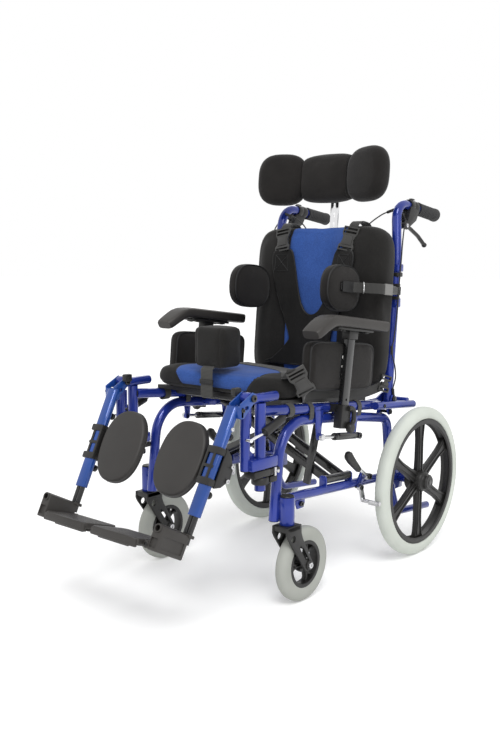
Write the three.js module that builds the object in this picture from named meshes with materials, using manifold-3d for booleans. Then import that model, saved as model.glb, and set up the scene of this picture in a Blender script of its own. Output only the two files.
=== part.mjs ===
// A folding-frame tilt-in-space wheelchair for a child or small adult.
// Millimetres, +Z up, the floor is z = 0. The chair faces -Y and its left side is +X.
// Everything is drawn for the left side first and mirrored for the right.

import * as THREE from 'three';
import { mergeVertices } from 'three/addons/utils/BufferGeometryUtils.js';
import Module from 'manifold-3d';

const wasm = await Module();
wasm.setup();

// Fits
const clearance = 0.3;
const runningGap = 1;
const overrun = 3;
const bite = 1; // how far joined solids run into each other
const quarterTurn = Math.PI / 2;
const fullTurn = 2 * Math.PI;

// Tubes
const tubeRadius = 12.5;
const tubeSides = 8;
const bendSteps = 4;
const frameSide = 200;
const plateThickness = 4;
const boltRadius = 4;
const boltHeadRadius = 8;
const boltHeadHeight = 5;
const roundSides = 8;

// Rear wheels
const rearWheelRadius = 200;
const rearTyreWidth = 36;
const rearTyreDepth = 31;
const rearTyreRound = 9;
const rearRimWidth = 32;
const rearRimDepth = 15;
const rearWheelSide = 260;
const rearAxleY = 212;
const wheelSides = 24;
const spokeCount = 6;
const spokeHubWidth = 34;
const spokeRimWidth = 24;
const spokeThickness = 13;
const hubRadius = 28;
const hubInnerReach = 28;
const hubOuterReach = 24;
const hubCapRadius = 20;
const hubCapReach = 36;
const axleRadius = 6;
const axleReach = 18;
const axlePlateLength = 74;
const axlePlateHeight = 60;
const axlePlateThickness = 8;

// Castors
const castorRadius = 88;
const castorTyreWidth = 30;
const castorTyreDepth = 34;
const castorTyreRound = 9;
const castorSides = 18;
const castorHubRadius = 13;
const castorHubWidth = 34;
const castorSpokeCount = 3;
const castorSpokeWidth = 18;
const castorWebThickness = 12;
const castorRingDepth = 8;
const castorStemX = 227;
const castorStemY = -320;
const castorTrail = 57;
const forkCrownGap = 4;
const forkCrownHeight = 13;
const forkCrownLength = 50;
const forkLegThickness = 5;
const forkLegTopLength = 38;
const forkLegTipRadius = 13;
const stemRadius = 8;
const stemLength = 46;
const headTubeRadius = 17.5;
const headTubeHeight = 64;

// Base side frame: the bent tube's corners and the lower rail, as y and z
const postFoot = { y: -334, z: 200 };
const topRailFront = { y: -310, z: 424.5 };
const topRailKnee = { y: -40, z: 400.5 };
const kneeBendRadius = 300;
const topRailRear = { y: 141, z: 373 };
const downTubeFoot = { y: 166, z: 196 };
const frontBendRadius = 85;
const rearBendRadius = 34;
const lowerRailFront = { y: -318, z: 244.5 };
const lowerRailRear = { y: 164, z: 213.7 };
const lowerRailRadius = 11.5;
const tipTubeRadius = 10;
const tipTubeKnee = { y: 205, z: 104 };
const tipTubeEnd = { y: 372, z: 88 };
const tipBendRadius = 45;
const lowerTabLength = 34;
const lowerTabHeight = 20;
const lowerTabY = -236;

// Tilt pivot
const tiltPivot = { y: 128, z: 393 };
const tiltLugInset = 17;
const tiltLugDepth = 7;
const tiltLugRadius = 9;
const tiltPinReach = 22;
const tiltPinHeadRadius = 6.5;
const tiltPinHeadHeight = 4.7;
const seatTiltLugGap = 1.1;
const seatTiltLugThickness = 3.4;

// Cross brace
const braceFootRise = 24;
const braceFootRadius = 10.5;
const braceFootFrontY = -138;
const braceFootLength = 104;
const braceFootInset = 2;
const braceHead = { x: 150, z: 420 };
const braceHeadRadius = 9.5;
const braceBarWidth = 22;
const braceBarDepth = 13;
const braceBarFrontY = -122;
const braceBarPitch = 60;
const braceBarStagger = 18;
const braceLinkTop = { x: 174, z: 397 };
const braceLinkFoot = { x: 142, z: 238 };
const braceLinkWidth = 19;
const braceLinkDepth = 9;
const braceLugLength = 14;
const braceLugGap = 2;

// Parking brake
const brakePivot = { y: 13, z: 243 };
const brakeSide = 230;
const brakeGripTop = { y: -84, z: 316 };
const brakeGripKnee = { y: -34, z: 268 };
const brakeGripRadius = 9;
const brakeShoePivot = { y: -8, z: 216 };
const brakeShoeTip = { y: 4, z: 180 };
const brakeShoeReach = 272;
const brakeShoeRadius = 5;
const brakeShoeArmInner = 218;
const brakeArmInner = 226;
const brakeArmThickness = 5;
const brakeArmWidth = 14;
const brakeHubRadius = 9;
const brakeShoeHubRadius = 8;
const brakePlateThickness = 5;

// Tilt gas spring, outboard of the base rail
const tiltSpringSide = 226;
const tiltSpringFoot = { y: -37, z: 356 };
const tiltSpringHead = { y: -187, z: 373 };
const tiltCylinderRadius = 9;
const tiltCylinderLength = 104;
const tiltRodRadius = 4;
const springEyeRadius = 8;
const springEyeWidth = 8;
const springWall = 2;

// Seat rails and leg-rest posts
const seatRailFront = { y: -386, z: 457.4 };
const seatRailRear = { y: 92, z: 414.8 };
const seatRailRadius = 12.5;
const railExtensionSide = 223.8;
const railExtensionRadius = 10.5;
const railExtensionFrontY = 46;
const railJointLength = 42;
const railJointHeight = 14;
const railExtensionRear = { y: 235, z: 402 };
const legPostX = 205;
const legPostY = -390;
const legPostBottom = 283;
const reclinePivot = { y: 146, z: 425 };
const reclinePlateThickness = 5;
const reclinePlateFrontY = 40;
const reclinePlateStepY = 112;
const reclinePlateRearY = 162;
const reclinePlateTop = 440;
const reclinePlateStepTop = 428;
const reclinePlateBottom = 403.5;
const reclineHubRadius = 13;
const reclinePinRadius = 5;

// Seat
const seatSlope = 0.0891;
const seatBoardThickness = 9;
const seatBoardWidth = 400;
const seatBoardFrontY = -312;
const seatBoardRearY = 36;
const seatCushionWidth = 388;
const seatCushionLength = 392;
const seatCushionThickness = 50;
const seatCushionCrown = 8;
const seatCushionFrontY = -336;
const crossTubeRadius = 10;
const crossTubeFrontY = -250;
const crossTubeRearY = 20;

// Pommel between the knees
const pommelWidth = 98;
const pommelDepth = 76;
const pommelHeight = 102;
const pommelY = -303;
const pommelBaseZ = 530;
const pommelEdge = 14;
const pommelCrown = 4;
const pommelStrapWidth = 40;
const pommelStrapThickness = 4.5;
const pommelStrapGap = 2.5;
const pommelStrapBottom = 461;
const pommelStrapFootHeight = 10;

// Armrests
const armSide = 236;
const armPostDepth = 28;
const armPostWidth = 13;
const armPostTop = { y: -90, z: 622 };
const armPostBottom = { y: -122, z: 396 };
const armPadWidth = 56;
const armPadThickness = 27;
const armPadFront = { y: -190, z: 650.3 };
const armPadRear = { y: 45, z: 622.5 };
const armPadEdge = 8;
const armPadNoseRadius = 30;
const armPadTip = { y: -252, z: 617 };
const armPlateThickness = 6;
const armPlateLength = 150;
const armPlateWidth = 40;
const armSocketWall = 5;
const armSocketHeight = 56;
const armSocketFloor = 9;

// Side pads at the hips
const hipPadLength = 276;
const hipPadHeight = 122;
const hipPadThickness = 22;
const hipPadCrown = 4;
const hipPadEdge = 10;
const hipPadY = -105;
const hipPadZ = 534;

// Backrest
const backLean = 0.0793;
const caneFootZ = 408;
const caneKnee = { y: 174, z: 790 };
const caneTop = { y: 186.5, z: 940 };
const caneEnd = { y: 392, z: 914 };
const caneTopSide = 187;
const caneGripSide = 186;
const caneKneeRadius = 160;
const caneTopRadius = 46;
const gripLength = 100;
const gripWall = 4;
const backBoardWidth = 372;
const backBoardThickness = 8;
const backBoardBottom = 66;
const backBoardTop = 428;
const backCushionWidth = 432;
const backCushionThickness = 62;
const backCushionCrown = 9;
const backCushionBottom = 36;
const backCushionTop = 470;
const backCushionEdge = 22;
const seatCushionEdge = 20;
const cushionDrawIn = 3;
const padDrawIn = 2;

// How square a pad's outline is: 2 is an ellipse
const seatSquareness = 9;
const backSquareness = 8;
const pommelSquareness = 6;
const hipPadSquareness = 7;
const lateralPadSquareness = 2.6;
const headCentreSquareness = 6;
const headWingSquareness = 4;
const calfPadSquareness = 2.45;

// Back board's bars, hinge ears and headrest holder
const backBarRadius = 9;
const backBarInset = 8;
const backBarLow = 92;
const backBarHigh = 300;
const lateralEarHeight = 32;
const lateralEarWall = 4;
const headHolderWidth = 40;
const headHolderDepth = 11;
const headHolderHeight = 28;
const headStopHeight = 13;

// Chest harness on the back cushion
const harnessThickness = 6;
const harnessFoot = { x: 132, z: 92 };
const harnessWaist = { x: 68, z: 153 };
const harnessChest = { x: 113, z: 285 };
const harnessArmOuter = { x: 131, z: 398 };
const harnessTopOuter = { x: 134, z: 466 };
const harnessTopInner = { x: 92, z: 466 };
const harnessArmInner = { x: 72, z: 398 };
const harnessNeckSide = { x: 38, z: 275 };
const harnessNeckFoot = { x: 14, z: 226 };

// Lateral chest pads
const lateralPadLength = 144;
const lateralPadHeight = 106;
const lateralPadThickness = 22;
const lateralPadCrown = 4;
const lateralPadEdge = 9;
const lateralPadSide = 149;
const lateralPadForward = 177;
const lateralPadUp = 300;
const lateralArmSide = 221.5;
const lateralElbowForward = 104;
const lateralWristForward = 148;
const lateralBendRadius = 14;
const lateralPinRadius = 3;
const lateralArmWidth = 22;
const lateralArmThickness = 5;
const lateralHingeRadius = 6;

// Headrest
const headPostWidth = 26;
const headPostThickness = 5;
const headPostBottom = 310;
const headPostTop = 604;
const headPostOffset = 7.4;
const headPadBottom = 532;
const headPadHeight = 130;
const headPadThickness = 56;
const headPadCrown = 5;
const headPadEdge = 15;
const headPadHalfWidth = 72;
const headWingWidth = 142;
const headWingThickness = 50;
const headWingTurn = 0.33;
const headWingInset = 4;
const headWingGap = 1;
const headHingeSide = 80;
const headHingeRadius = 5;
const headHingePinRadius = 2.5;
const headHingeLength = 34;
const headCarrierHeight = 24;

// Attendant brake levers
const leverPivot = { y: 218, z: 879 };
const leverKnee = { y: 262, z: 862 };
const leverTip = { y: 333, z: 830 };
const leverRadius = 4;
const leverBallRadius = 7;
const leverClampWidth = 24;
const leverClampFront = { y: 240, z: 930 };
const leverClampRear = { y: 286, z: 925 };
const leverWaistFront = { y: 224, z: 893 };
const leverWaistRear = { y: 266, z: 893 };
const leverBend = 30;
const leverForkThickness = 5;

// Recline gas spring, inboard of the cane
const reclineSpringSide = 172;
const reclineSpringFoot = { y: 209, z: 414 };
const reclineSpringHead = { y: 166, z: 683 };
const reclineCylinderRadius = 10;
const reclineCylinderLength = 142;
const reclineRodRadius = 4.5;
const reclineRodInside = 34;

// Leg rests
const hangerArmZ = 487.5;
const hangerArmRearY = -338;
const hangerTubeY = -435;
const hangerTubeBottom = 334;
const hangerCollarBottom = 332;
const hangerCollarTop = 357;
const hangerCollarRearY = -346;
const hangerCollarWidth = 34;
const hangerTubeRadius = 11;
const hangerBendRadius = 20;
const legPivot = { y: -428, z: 492 };
const legTopX = 191;
const legTop = { y: -463, z: 474 };
const legFoot = { y: -575, z: 260 };
const legFootX = 182;
const legLobeRadius = 10;
const legLobePitch = 12;
const legWall = 3.1;
const legCheekThickness = 4;
const legCheekGap = 2;
const legCheekRadius = 13;
const legCapHeight = 22;
const footTubeInside = 120;
const footTubeReach = 62;
const footBlockLength = 84;
const footBlockHeight = 52;
const footBlockWidth = 26;
const footBlockRear = 2.6;
const footBlockDrop = 41;
const footEyeRadius = 9.5;
const footEyeRise = 19.5;
const footEyeForward = 2.5;
const footSide = 180;
const footMiddle = { y: -650, z: 206.3 };
const footPitch = 0.3;
const footplateLength = 98;
const footplateForward = 13;
const footHingeDrop = 6;
const footHingeBossLength = 22;
const footplateWidth = 139;
const footplateThickness = 12;
const footplateRib = 8;
const footHingeRadius = 8;
const calfPadWidth = 142;
const calfPadCrown = 4;
const calfPadEdge = 8;
const calfPadHeight = 166;
const calfPadThickness = 20;
const calfPadX = 94;
const calfPadDown = 132;
const calfSleeveHeight = 64;
const calfSleeveWall = 3;
const calfPlateThickness = 4;
const calfPlateWidth = 62;
const calfPlateHeight = 60;

// Finishes
const finish = (color, roughness, metalness) => new THREE.MeshStandardMaterial({ color, roughness, metalness });
const frameBlue = finish('#2438a8', 0.3, 0.1);
const legBlue = finish('#2b55c0', 0.3, 0.1);
const blackPlastic = finish('#26262a', 0.5, 0);
const greyPlastic = finish('#4a4849', 0.55, 0);
const blackSteel = finish('#17171a', 0.35, 0.3);
const brightSteel = finish('#c9cbd0', 0.25, 0.9);
const rearTyreGrey = finish('#c6cbc1', 0.75, 0);
const castorGrey = finish('#a9ada3', 0.75, 0);
const blackMesh = finish('#1b1b1f', 0.95, 0);
const calfVinyl = finish('#494644', 0.6, 0);
const gripRubber = finish('#2e2e30', 0.8, 0);
const webbing = finish('#3a3a38', 0.9, 0);

// Geometry helpers

const point = (x, y, z) => new THREE.Vector3(x, y, z);

// A tube's centreline: straight runs between rounded corners, with one ring at each end of a
// run and a few round each bend.
class BentPath extends THREE.Curve {
  constructor(corners, bendRadii) {
    super();
    this.stations = [];
    const last = corners.length - 1;
    corners.forEach((corner, i) => {
      if (i === 0 || i === last) {
        const other = corners[i === 0 ? 1 : last - 1];
        const along = i === 0 ? other.clone().sub(corner) : corner.clone().sub(other);
        this.stations.push({ at: corner.clone(), along: along.normalize() });
        return;
      }
      const into = corner.clone().sub(corners[i - 1]).normalize();
      const out = corners[i + 1].clone().sub(corner).normalize();
      const turn = into.angleTo(out);
      const radius = bendRadii[i - 1];
      const start = corner.clone().addScaledVector(into, -radius * Math.tan(turn / 2));
      const inward = out.clone().addScaledVector(into, -out.dot(into)).normalize();
      const centre = start.clone().addScaledVector(inward, radius);
      for (let k = 0; k <= bendSteps; k += 1) {
        const angle = turn * k / bendSteps;
        const at = centre.clone()
          .addScaledVector(inward, -radius * Math.cos(angle))
          .addScaledVector(into, radius * Math.sin(angle));
        const along = into.clone().multiplyScalar(Math.cos(angle)).addScaledVector(inward, Math.sin(angle));
        this.stations.push({ at, along });
      }
    });
  }

  station(share) {
    return this.stations[Math.round(share * (this.stations.length - 1))];
  }

  getPoint(share, target = new THREE.Vector3()) {
    return target.copy(this.station(share).at);
  }

  getPointAt(share, target) {
    return this.getPoint(share, target);
  }

  getTangent(share, target = new THREE.Vector3()) {
    return target.copy(this.station(share).along);
  }

  getTangentAt(share, target) {
    return this.getTangent(share, target);
  }
}

function ringShape(radius, sides) {
  const points = [];
  for (let i = 0; i < sides; i += 1) {
    const angle = fullTurn * (i + 1 / 2) / sides;
    points.push(new THREE.Vector2(radius * Math.cos(angle), radius * Math.sin(angle)));
  }
  return new THREE.Shape(points);
}

function sweep(corners, section, bendRadii = []) {
  const path = new BentPath(corners, bendRadii);
  const options = { steps: path.stations.length - 1, bevelEnabled: false, extrudePath: path };
  return new THREE.ExtrudeGeometry(section, options);
}

const tube = (corners, radius, bendRadii = [], sides = tubeSides) =>
  sweep(corners, ringShape(radius, sides), bendRadii);

// A rectangle with its corners cut off
function barSection(width, height, corner) {
  const x = width / 2;
  const y = height / 2;
  return new THREE.Shape([
    [x, corner - y], [x, y - corner], [x - corner, y], [corner - x, y],
    [-x, y - corner], [-x, corner - y], [corner - x, -y], [x - corner, -y],
  ].map(([across, up]) => new THREE.Vector2(across, up)));
}

function rod(from, to, radius, sides = roundSides) {
  const along = to.clone().sub(from);
  const geometry = new THREE.CylinderGeometry(radius, radius, along.length(), sides);
  const turn = new THREE.Quaternion().setFromUnitVectors(point(0, 1, 0), along.clone().normalize());
  geometry.applyQuaternion(turn);
  const middle = from.clone().add(to).multiplyScalar(1 / 2);
  return geometry.translate(middle.x, middle.y, middle.z);
}

const crossRod = (fromX, toX, at, radius, sides = roundSides) =>
  rod(point(fromX, at.y, at.z), point(toX, at.y, at.z), radius, sides);

// From a tube's middle to its flats
const flatOf = (radius, sides = tubeSides) => radius * Math.cos(Math.PI / sides);

// A hole that clears a turning pin of the same number of sides
const holeFor = (pinRadius, sides = roundSides) => (pinRadius + clearance) / Math.cos(Math.PI / sides);

function box(fromX, toX, fromY, toY, fromZ, toZ) {
  const geometry = new THREE.BoxGeometry(toX - fromX, toY - fromY, toZ - fromZ);
  return geometry.translate((fromX + toX) / 2, (fromY + toY) / 2, (fromZ + toZ) / 2);
}

// A flat bar with a rectangular section between two points; width lies across x.
function bar(from, to, widthX, depth) {
  const along = to.clone().sub(from);
  const geometry = new THREE.BoxGeometry(widthX, depth, along.length());
  const zAxis = along.clone().normalize();
  const xAxis = point(1, 0, 0).addScaledVector(zAxis, -zAxis.x).normalize();
  const yAxis = zAxis.clone().cross(xAxis);
  geometry.applyMatrix4(new THREE.Matrix4().makeBasis(xAxis, yAxis, zAxis));
  const middle = from.clone().add(to).multiplyScalar(1 / 2);
  return geometry.translate(middle.x, middle.y, middle.z);
}

const sidePlane = new THREE.Matrix4().makeBasis(point(0, 1, 0), point(0, 0, 1), point(1, 0, 0));
const frontPlane = new THREE.Matrix4().makeBasis(point(1, 0, 0), point(0, 0, 1), point(0, -1, 0));

// A plate whose outline is given as y and z, from one x to another
function sidePlate(outline, fromX, toX) {
  const shape = new THREE.Shape(outline.map((p) => new THREE.Vector2(p.y, p.z)));
  const geometry = new THREE.ExtrudeGeometry(shape, { depth: toX - fromX, bevelEnabled: false });
  return geometry.applyMatrix4(sidePlane).translate(fromX, 0, 0);
}

// A plate whose outline is given as x and z, from one y to another
function frontPlate(outline, fromY, toY) {
  const shape = new THREE.Shape(outline.map((p) => new THREE.Vector2(p.x, p.z)));
  const geometry = new THREE.ExtrudeGeometry(shape, { depth: toY - fromY, bevelEnabled: false });
  return geometry.applyMatrix4(frontPlane).translate(0, toY, 0);
}

// A ring turned about the x axis from a closed profile of radius and x
function turned(profile, sides) {
  const flatToTip = 1 / Math.cos(Math.PI / sides);
  const points = profile.map((p) => new THREE.Vector2(p.r * flatToTip, p.x));
  points.push(points[0].clone());
  const geometry = new THREE.LatheGeometry(points, sides, Math.PI / sides);
  return geometry.rotateZ(-quarterTurn);
}

// A padded form with its thickness along z: both faces swell to a crown, the rounded edge runs
// in to the seam round its middle, and the sides between the corners are drawn in.
const edgeShares = [{ inset: 0.1, rise: 0.5 }, { inset: 0.42, rise: 0.88 }, { inset: 1, rise: 1 }];
const plainEdgeShares = [{ inset: 0.3, rise: 0.76 }, { inset: 1, rise: 1 }];
const crownShares = [{ scale: 0.72, swell: 0.6 }, { scale: 0.38, swell: 0.9 }];
const plainCrownShares = [{ scale: 0.5, swell: 0.8 }];

function padded(form) {
  const { width, length, thickness, crown, edge, squareness, drawIn, around = 20, fine = false } = form;
  const outline = [];
  for (let i = 0; i < around; i += 1) {
    const angle = fullTurn * (i + 1 / 2) / around;
    const across = Math.sign(Math.cos(angle)) * Math.abs(Math.cos(angle)) ** (2 / squareness);
    const along = Math.sign(Math.sin(angle)) * Math.abs(Math.sin(angle)) ** (2 / squareness);
    const x = across * (width / 2 - drawIn * (1 - along * along));
    const y = along * (length / 2 - drawIn * (1 - across * across));
    outline.push({ x, y });
  }
  const ring = (inset, z) => outline.map((p) =>
    point(p.x * (1 - 2 * inset / width), p.y * (1 - 2 * inset / length), z));
  const face = (sign) => {
    const rings = (fine ? edgeShares : plainEdgeShares)
      .map((share) => ring(share.inset * edge, sign * share.rise * thickness / 2));
    (fine ? crownShares : plainCrownShares).forEach((share) => {
      const z = sign * (thickness / 2 + share.swell * crown);
      rings.push(outline.map((p) => point(p.x * share.scale, p.y * share.scale, z)));
    });
    return rings;
  };
  const rings = [...face(-1).reverse(), ring(0, 0), ...face(1)];
  const positions = rings.flat().flatMap((p) => p.toArray());
  const poleZ = thickness / 2 + crown;
  positions.push(0, 0, -poleZ, 0, 0, poleZ);
  const index = [];
  const bottom = rings.length * around;
  const topRing = (rings.length - 1) * around;
  for (let i = 0; i < around; i += 1) {
    const next = (i + 1) % around;
    index.push(bottom, next, i, bottom + 1, topRing + i, topRing + next);
    for (let r = 0; r < rings.length - 1; r += 1) {
      const low = r * around;
      const high = low + around;
      index.push(low + i, low + next, high + next, low + i, high + next, high + i);
    }
  }
  const geometry = new THREE.BufferGeometry();
  geometry.setAttribute('position', new THREE.Float32BufferAttribute(positions, 3));
  geometry.setIndex(index);
  return geometry;
}

// Joining and cutting

function solidOf(geometry) {
  const bare = geometry.clone();
  bare.deleteAttribute('normal');
  bare.deleteAttribute('uv');
  const merged = mergeVertices(bare);
  const triangles = new Uint32Array(merged.index.array);
  const make = (triVerts) =>
    new wasm.Manifold(new wasm.Mesh({ numProp: 3, vertProperties: merged.attributes.position.array, triVerts }));
  const solid = make(triangles);
  if (solid.volume() > 0) return solid;
  return make(triangles.reverse());
}

const join = (...geometries) => geometries
  .map((g) => (g.isBufferGeometry ? solidOf(g) : g))
  .reduce((whole, next) => whole.add(next));

const cut = (whole, ...tools) => tools.reduce((rest, tool) =>
  rest.subtract(tool.isBufferGeometry ? solidOf(tool) : tool), whole.isBufferGeometry ? solidOf(whole) : whole);

function geometryOf(solid, isMirrored) {
  const { vertProperties, triVerts } = solid.getMesh();
  const positions = Float32Array.from(vertProperties);
  const index = Uint32Array.from(triVerts);
  if (isMirrored) {
    for (let i = 0; i < positions.length; i += 3) positions[i] = -positions[i];
    index.reverse();
  }
  const geometry = new THREE.BufferGeometry();
  geometry.setAttribute('position', new THREE.BufferAttribute(positions, 3));
  geometry.setIndex(new THREE.BufferAttribute(index, 1));
  geometry.computeVertexNormals();
  return geometry;
}

const chair = new THREE.Group();

function part(name, shape, material, at = point(0, 0, 0), group = chair, isMirrored = false) {
  const solid = shape.isBufferGeometry ? solidOf(shape) : shape;
  const mesh = new THREE.Mesh(geometryOf(solid, isMirrored), material);
  mesh.name = name;
  mesh.position.copy(at);
  group.add(mesh);
}

function pair(name, shape, material, at = point(0, 0, 0), group = chair) {
  part(`${name}_left`, shape, material, at, group);
  part(`${name}_right`, shape, material, point(-at.x, at.y, at.z), group, true);
}

const railZ = (from, to, y) => from.z + (to.z - from.z) * (y - from.y) / (to.y - from.y);
const sidePoint = (x, p) => point(x, p.y, p.z);

// Rear wheels: a solid tyre on a six-spoke wheel that turns on an axle from the base frame

function rearTyre() {
  const half = rearTyreWidth / 2;
  const inner = rearWheelRadius - rearTyreDepth;
  const shoulder = rearWheelRadius - rearTyreRound;
  return turned([
    { r: inner, x: -half },
    { r: shoulder, x: -half },
    { r: rearWheelRadius, x: -half + rearTyreRound },
    { r: rearWheelRadius, x: half - rearTyreRound },
    { r: shoulder, x: half },
    { r: inner, x: half },
  ], wheelSides);
}

function rearWheel() {
  const half = rearRimWidth / 2;
  const outer = rearWheelRadius - rearTyreDepth - clearance;
  const inner = outer - rearRimDepth;
  const flange = rearRimDepth / 3;
  const ring = turned([
    { r: inner, x: -half },
    { r: outer, x: -half },
    { r: outer, x: half },
    { r: inner, x: half },
    { r: inner + flange, x: half - flange },
    { r: inner + flange, x: flange - half },
  ], wheelSides);
  const pieces = [ring];
  for (let k = 0; k < spokeCount; k += 1) {
    const spoke = sidePlate([
      { y: -spokeHubWidth / 2, z: hubRadius / 2 },
      { y: spokeHubWidth / 2, z: hubRadius / 2 },
      { y: spokeRimWidth / 2, z: inner + flange + bite / 2 },
      { y: -spokeRimWidth / 2, z: inner + flange + bite / 2 },
    ], -spokeThickness / 2, spokeThickness / 2);
    pieces.push(spoke.rotateX(fullTurn * k / spokeCount));
  }
  const centre = { y: 0, z: 0 };
  pieces.push(crossRod(-hubInnerReach, hubOuterReach, centre, hubRadius, wheelSides / 2));
  pieces.push(crossRod(hubOuterReach - overrun, hubCapReach, centre, hubCapRadius));
  const bore = crossRod(-hubInnerReach - overrun, axleReach + clearance, centre, holeFor(axleRadius));
  return cut(join(...pieces), bore);
}

const rearAxle = { y: rearAxleY, z: rearWheelRadius };
pair('rear_tyre', rearTyre(), rearTyreGrey, sidePoint(rearWheelSide, rearAxle));
pair('rear_wheel', rearWheel(), blackPlastic, sidePoint(rearWheelSide, rearAxle));

// Castors: the fork's stem stands in the base frame's head tube

const headTubeBottom = 2 * castorRadius + forkCrownGap + forkCrownHeight + clearance;
const castorAxle = { y: castorStemY + castorTrail, z: castorRadius };

function castorWheel() {
  const half = castorTyreWidth / 2;
  const inner = castorRadius - castorTyreDepth;
  const tyre = turned([
    { r: castorRadius - castorTyreRound, x: -half },
    { r: castorRadius, x: -half + castorTyreRound },
    { r: castorRadius, x: half - castorTyreRound },
    { r: castorRadius - castorTyreRound, x: half },
    { r: inner - castorRingDepth, x: castorWebThickness / 2 },
    { r: inner - castorRingDepth, x: -castorWebThickness / 2 },
  ], castorSides);
  const pieces = [tyre, crossRod(-castorHubWidth / 2, castorHubWidth / 2, { y: 0, z: 0 }, castorHubRadius)];
  for (let k = 0; k < castorSpokeCount; k += 1) {
    const spoke = sidePlate([
      { y: -castorSpokeWidth / 2, z: castorHubRadius / 2 },
      { y: castorSpokeWidth / 2, z: castorHubRadius / 2 },
      { y: castorSpokeWidth / 2, z: inner - castorRingDepth / 2 },
      { y: -castorSpokeWidth / 2, z: inner - castorRingDepth / 2 },
    ], -castorWebThickness / 2, castorWebThickness / 2);
    pieces.push(spoke.rotateX(fullTurn * k / castorSpokeCount));
  }
  const bore = crossRod(-castorHubWidth, castorHubWidth, { y: 0, z: 0 }, holeFor(boltRadius));
  return cut(join(...pieces), bore);
}

function castorFork() {
  const crownTop = headTubeBottom - clearance;
  const crownBottom = crownTop - forkCrownHeight;
  const legInner = castorHubWidth / 2 + clearance;
  const legOuter = legInner + forkLegThickness;
  const half = forkCrownLength / 2;
  const crown = box(-legOuter, legOuter, -half, half, crownBottom, crownTop);
  const stem = rod(point(0, 0, crownTop - overrun), point(0, 0, crownTop + stemLength), stemRadius);
  const leg = (fromX, toX) => join(
    sidePlate([
      { y: -half, z: crownTop },
      { y: -half, z: crownBottom - forkCrownHeight / 2 },
      { y: castorTrail - forkLegTipRadius, z: castorRadius },
      { y: castorTrail, z: castorRadius - forkLegTipRadius },
      { y: castorTrail + forkLegTipRadius, z: castorRadius },
      { y: -half + forkLegTopLength + forkCrownHeight, z: crownBottom - forkCrownHeight / 2 },
      { y: half, z: crownTop },
    ], fromX, toX),
    crossRod(fromX, toX, { y: castorTrail, z: castorRadius }, forkLegTipRadius),
  );
  const centre = { y: castorTrail, z: castorRadius };
  const axleEnd = legOuter + boltHeadHeight;
  const axle = crossRod(-axleEnd, axleEnd, centre, boltRadius);
  const heads = [-1, 1].map((side) =>
    crossRod(side * (legOuter - overrun), side * axleEnd, centre, boltHeadRadius));
  return join(crown, stem, leg(-legOuter, -legInner), leg(legInner, legOuter), axle, ...heads);
}

pair('castor_wheel', castorWheel(), castorGrey, sidePoint(castorStemX, castorAxle));
pair('castor_fork', castorFork(), blackPlastic, point(castorStemX, castorStemY, 0));

// Base side frame: the bent tube, lower rail, head tube, axle plate, lugs and tipping tube

const topRailZ = (y) => (y < topRailKnee.y
  ? railZ(topRailFront, topRailKnee, y)
  : railZ(topRailKnee, topRailRear, y));
const lowerRailZ = (y) => railZ(lowerRailFront, lowerRailRear, y);
const onFrame = (p) => sidePoint(frameSide, p);

const tiltSpringPinStart = frameSide + tubeRadius + plateThickness;

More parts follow.
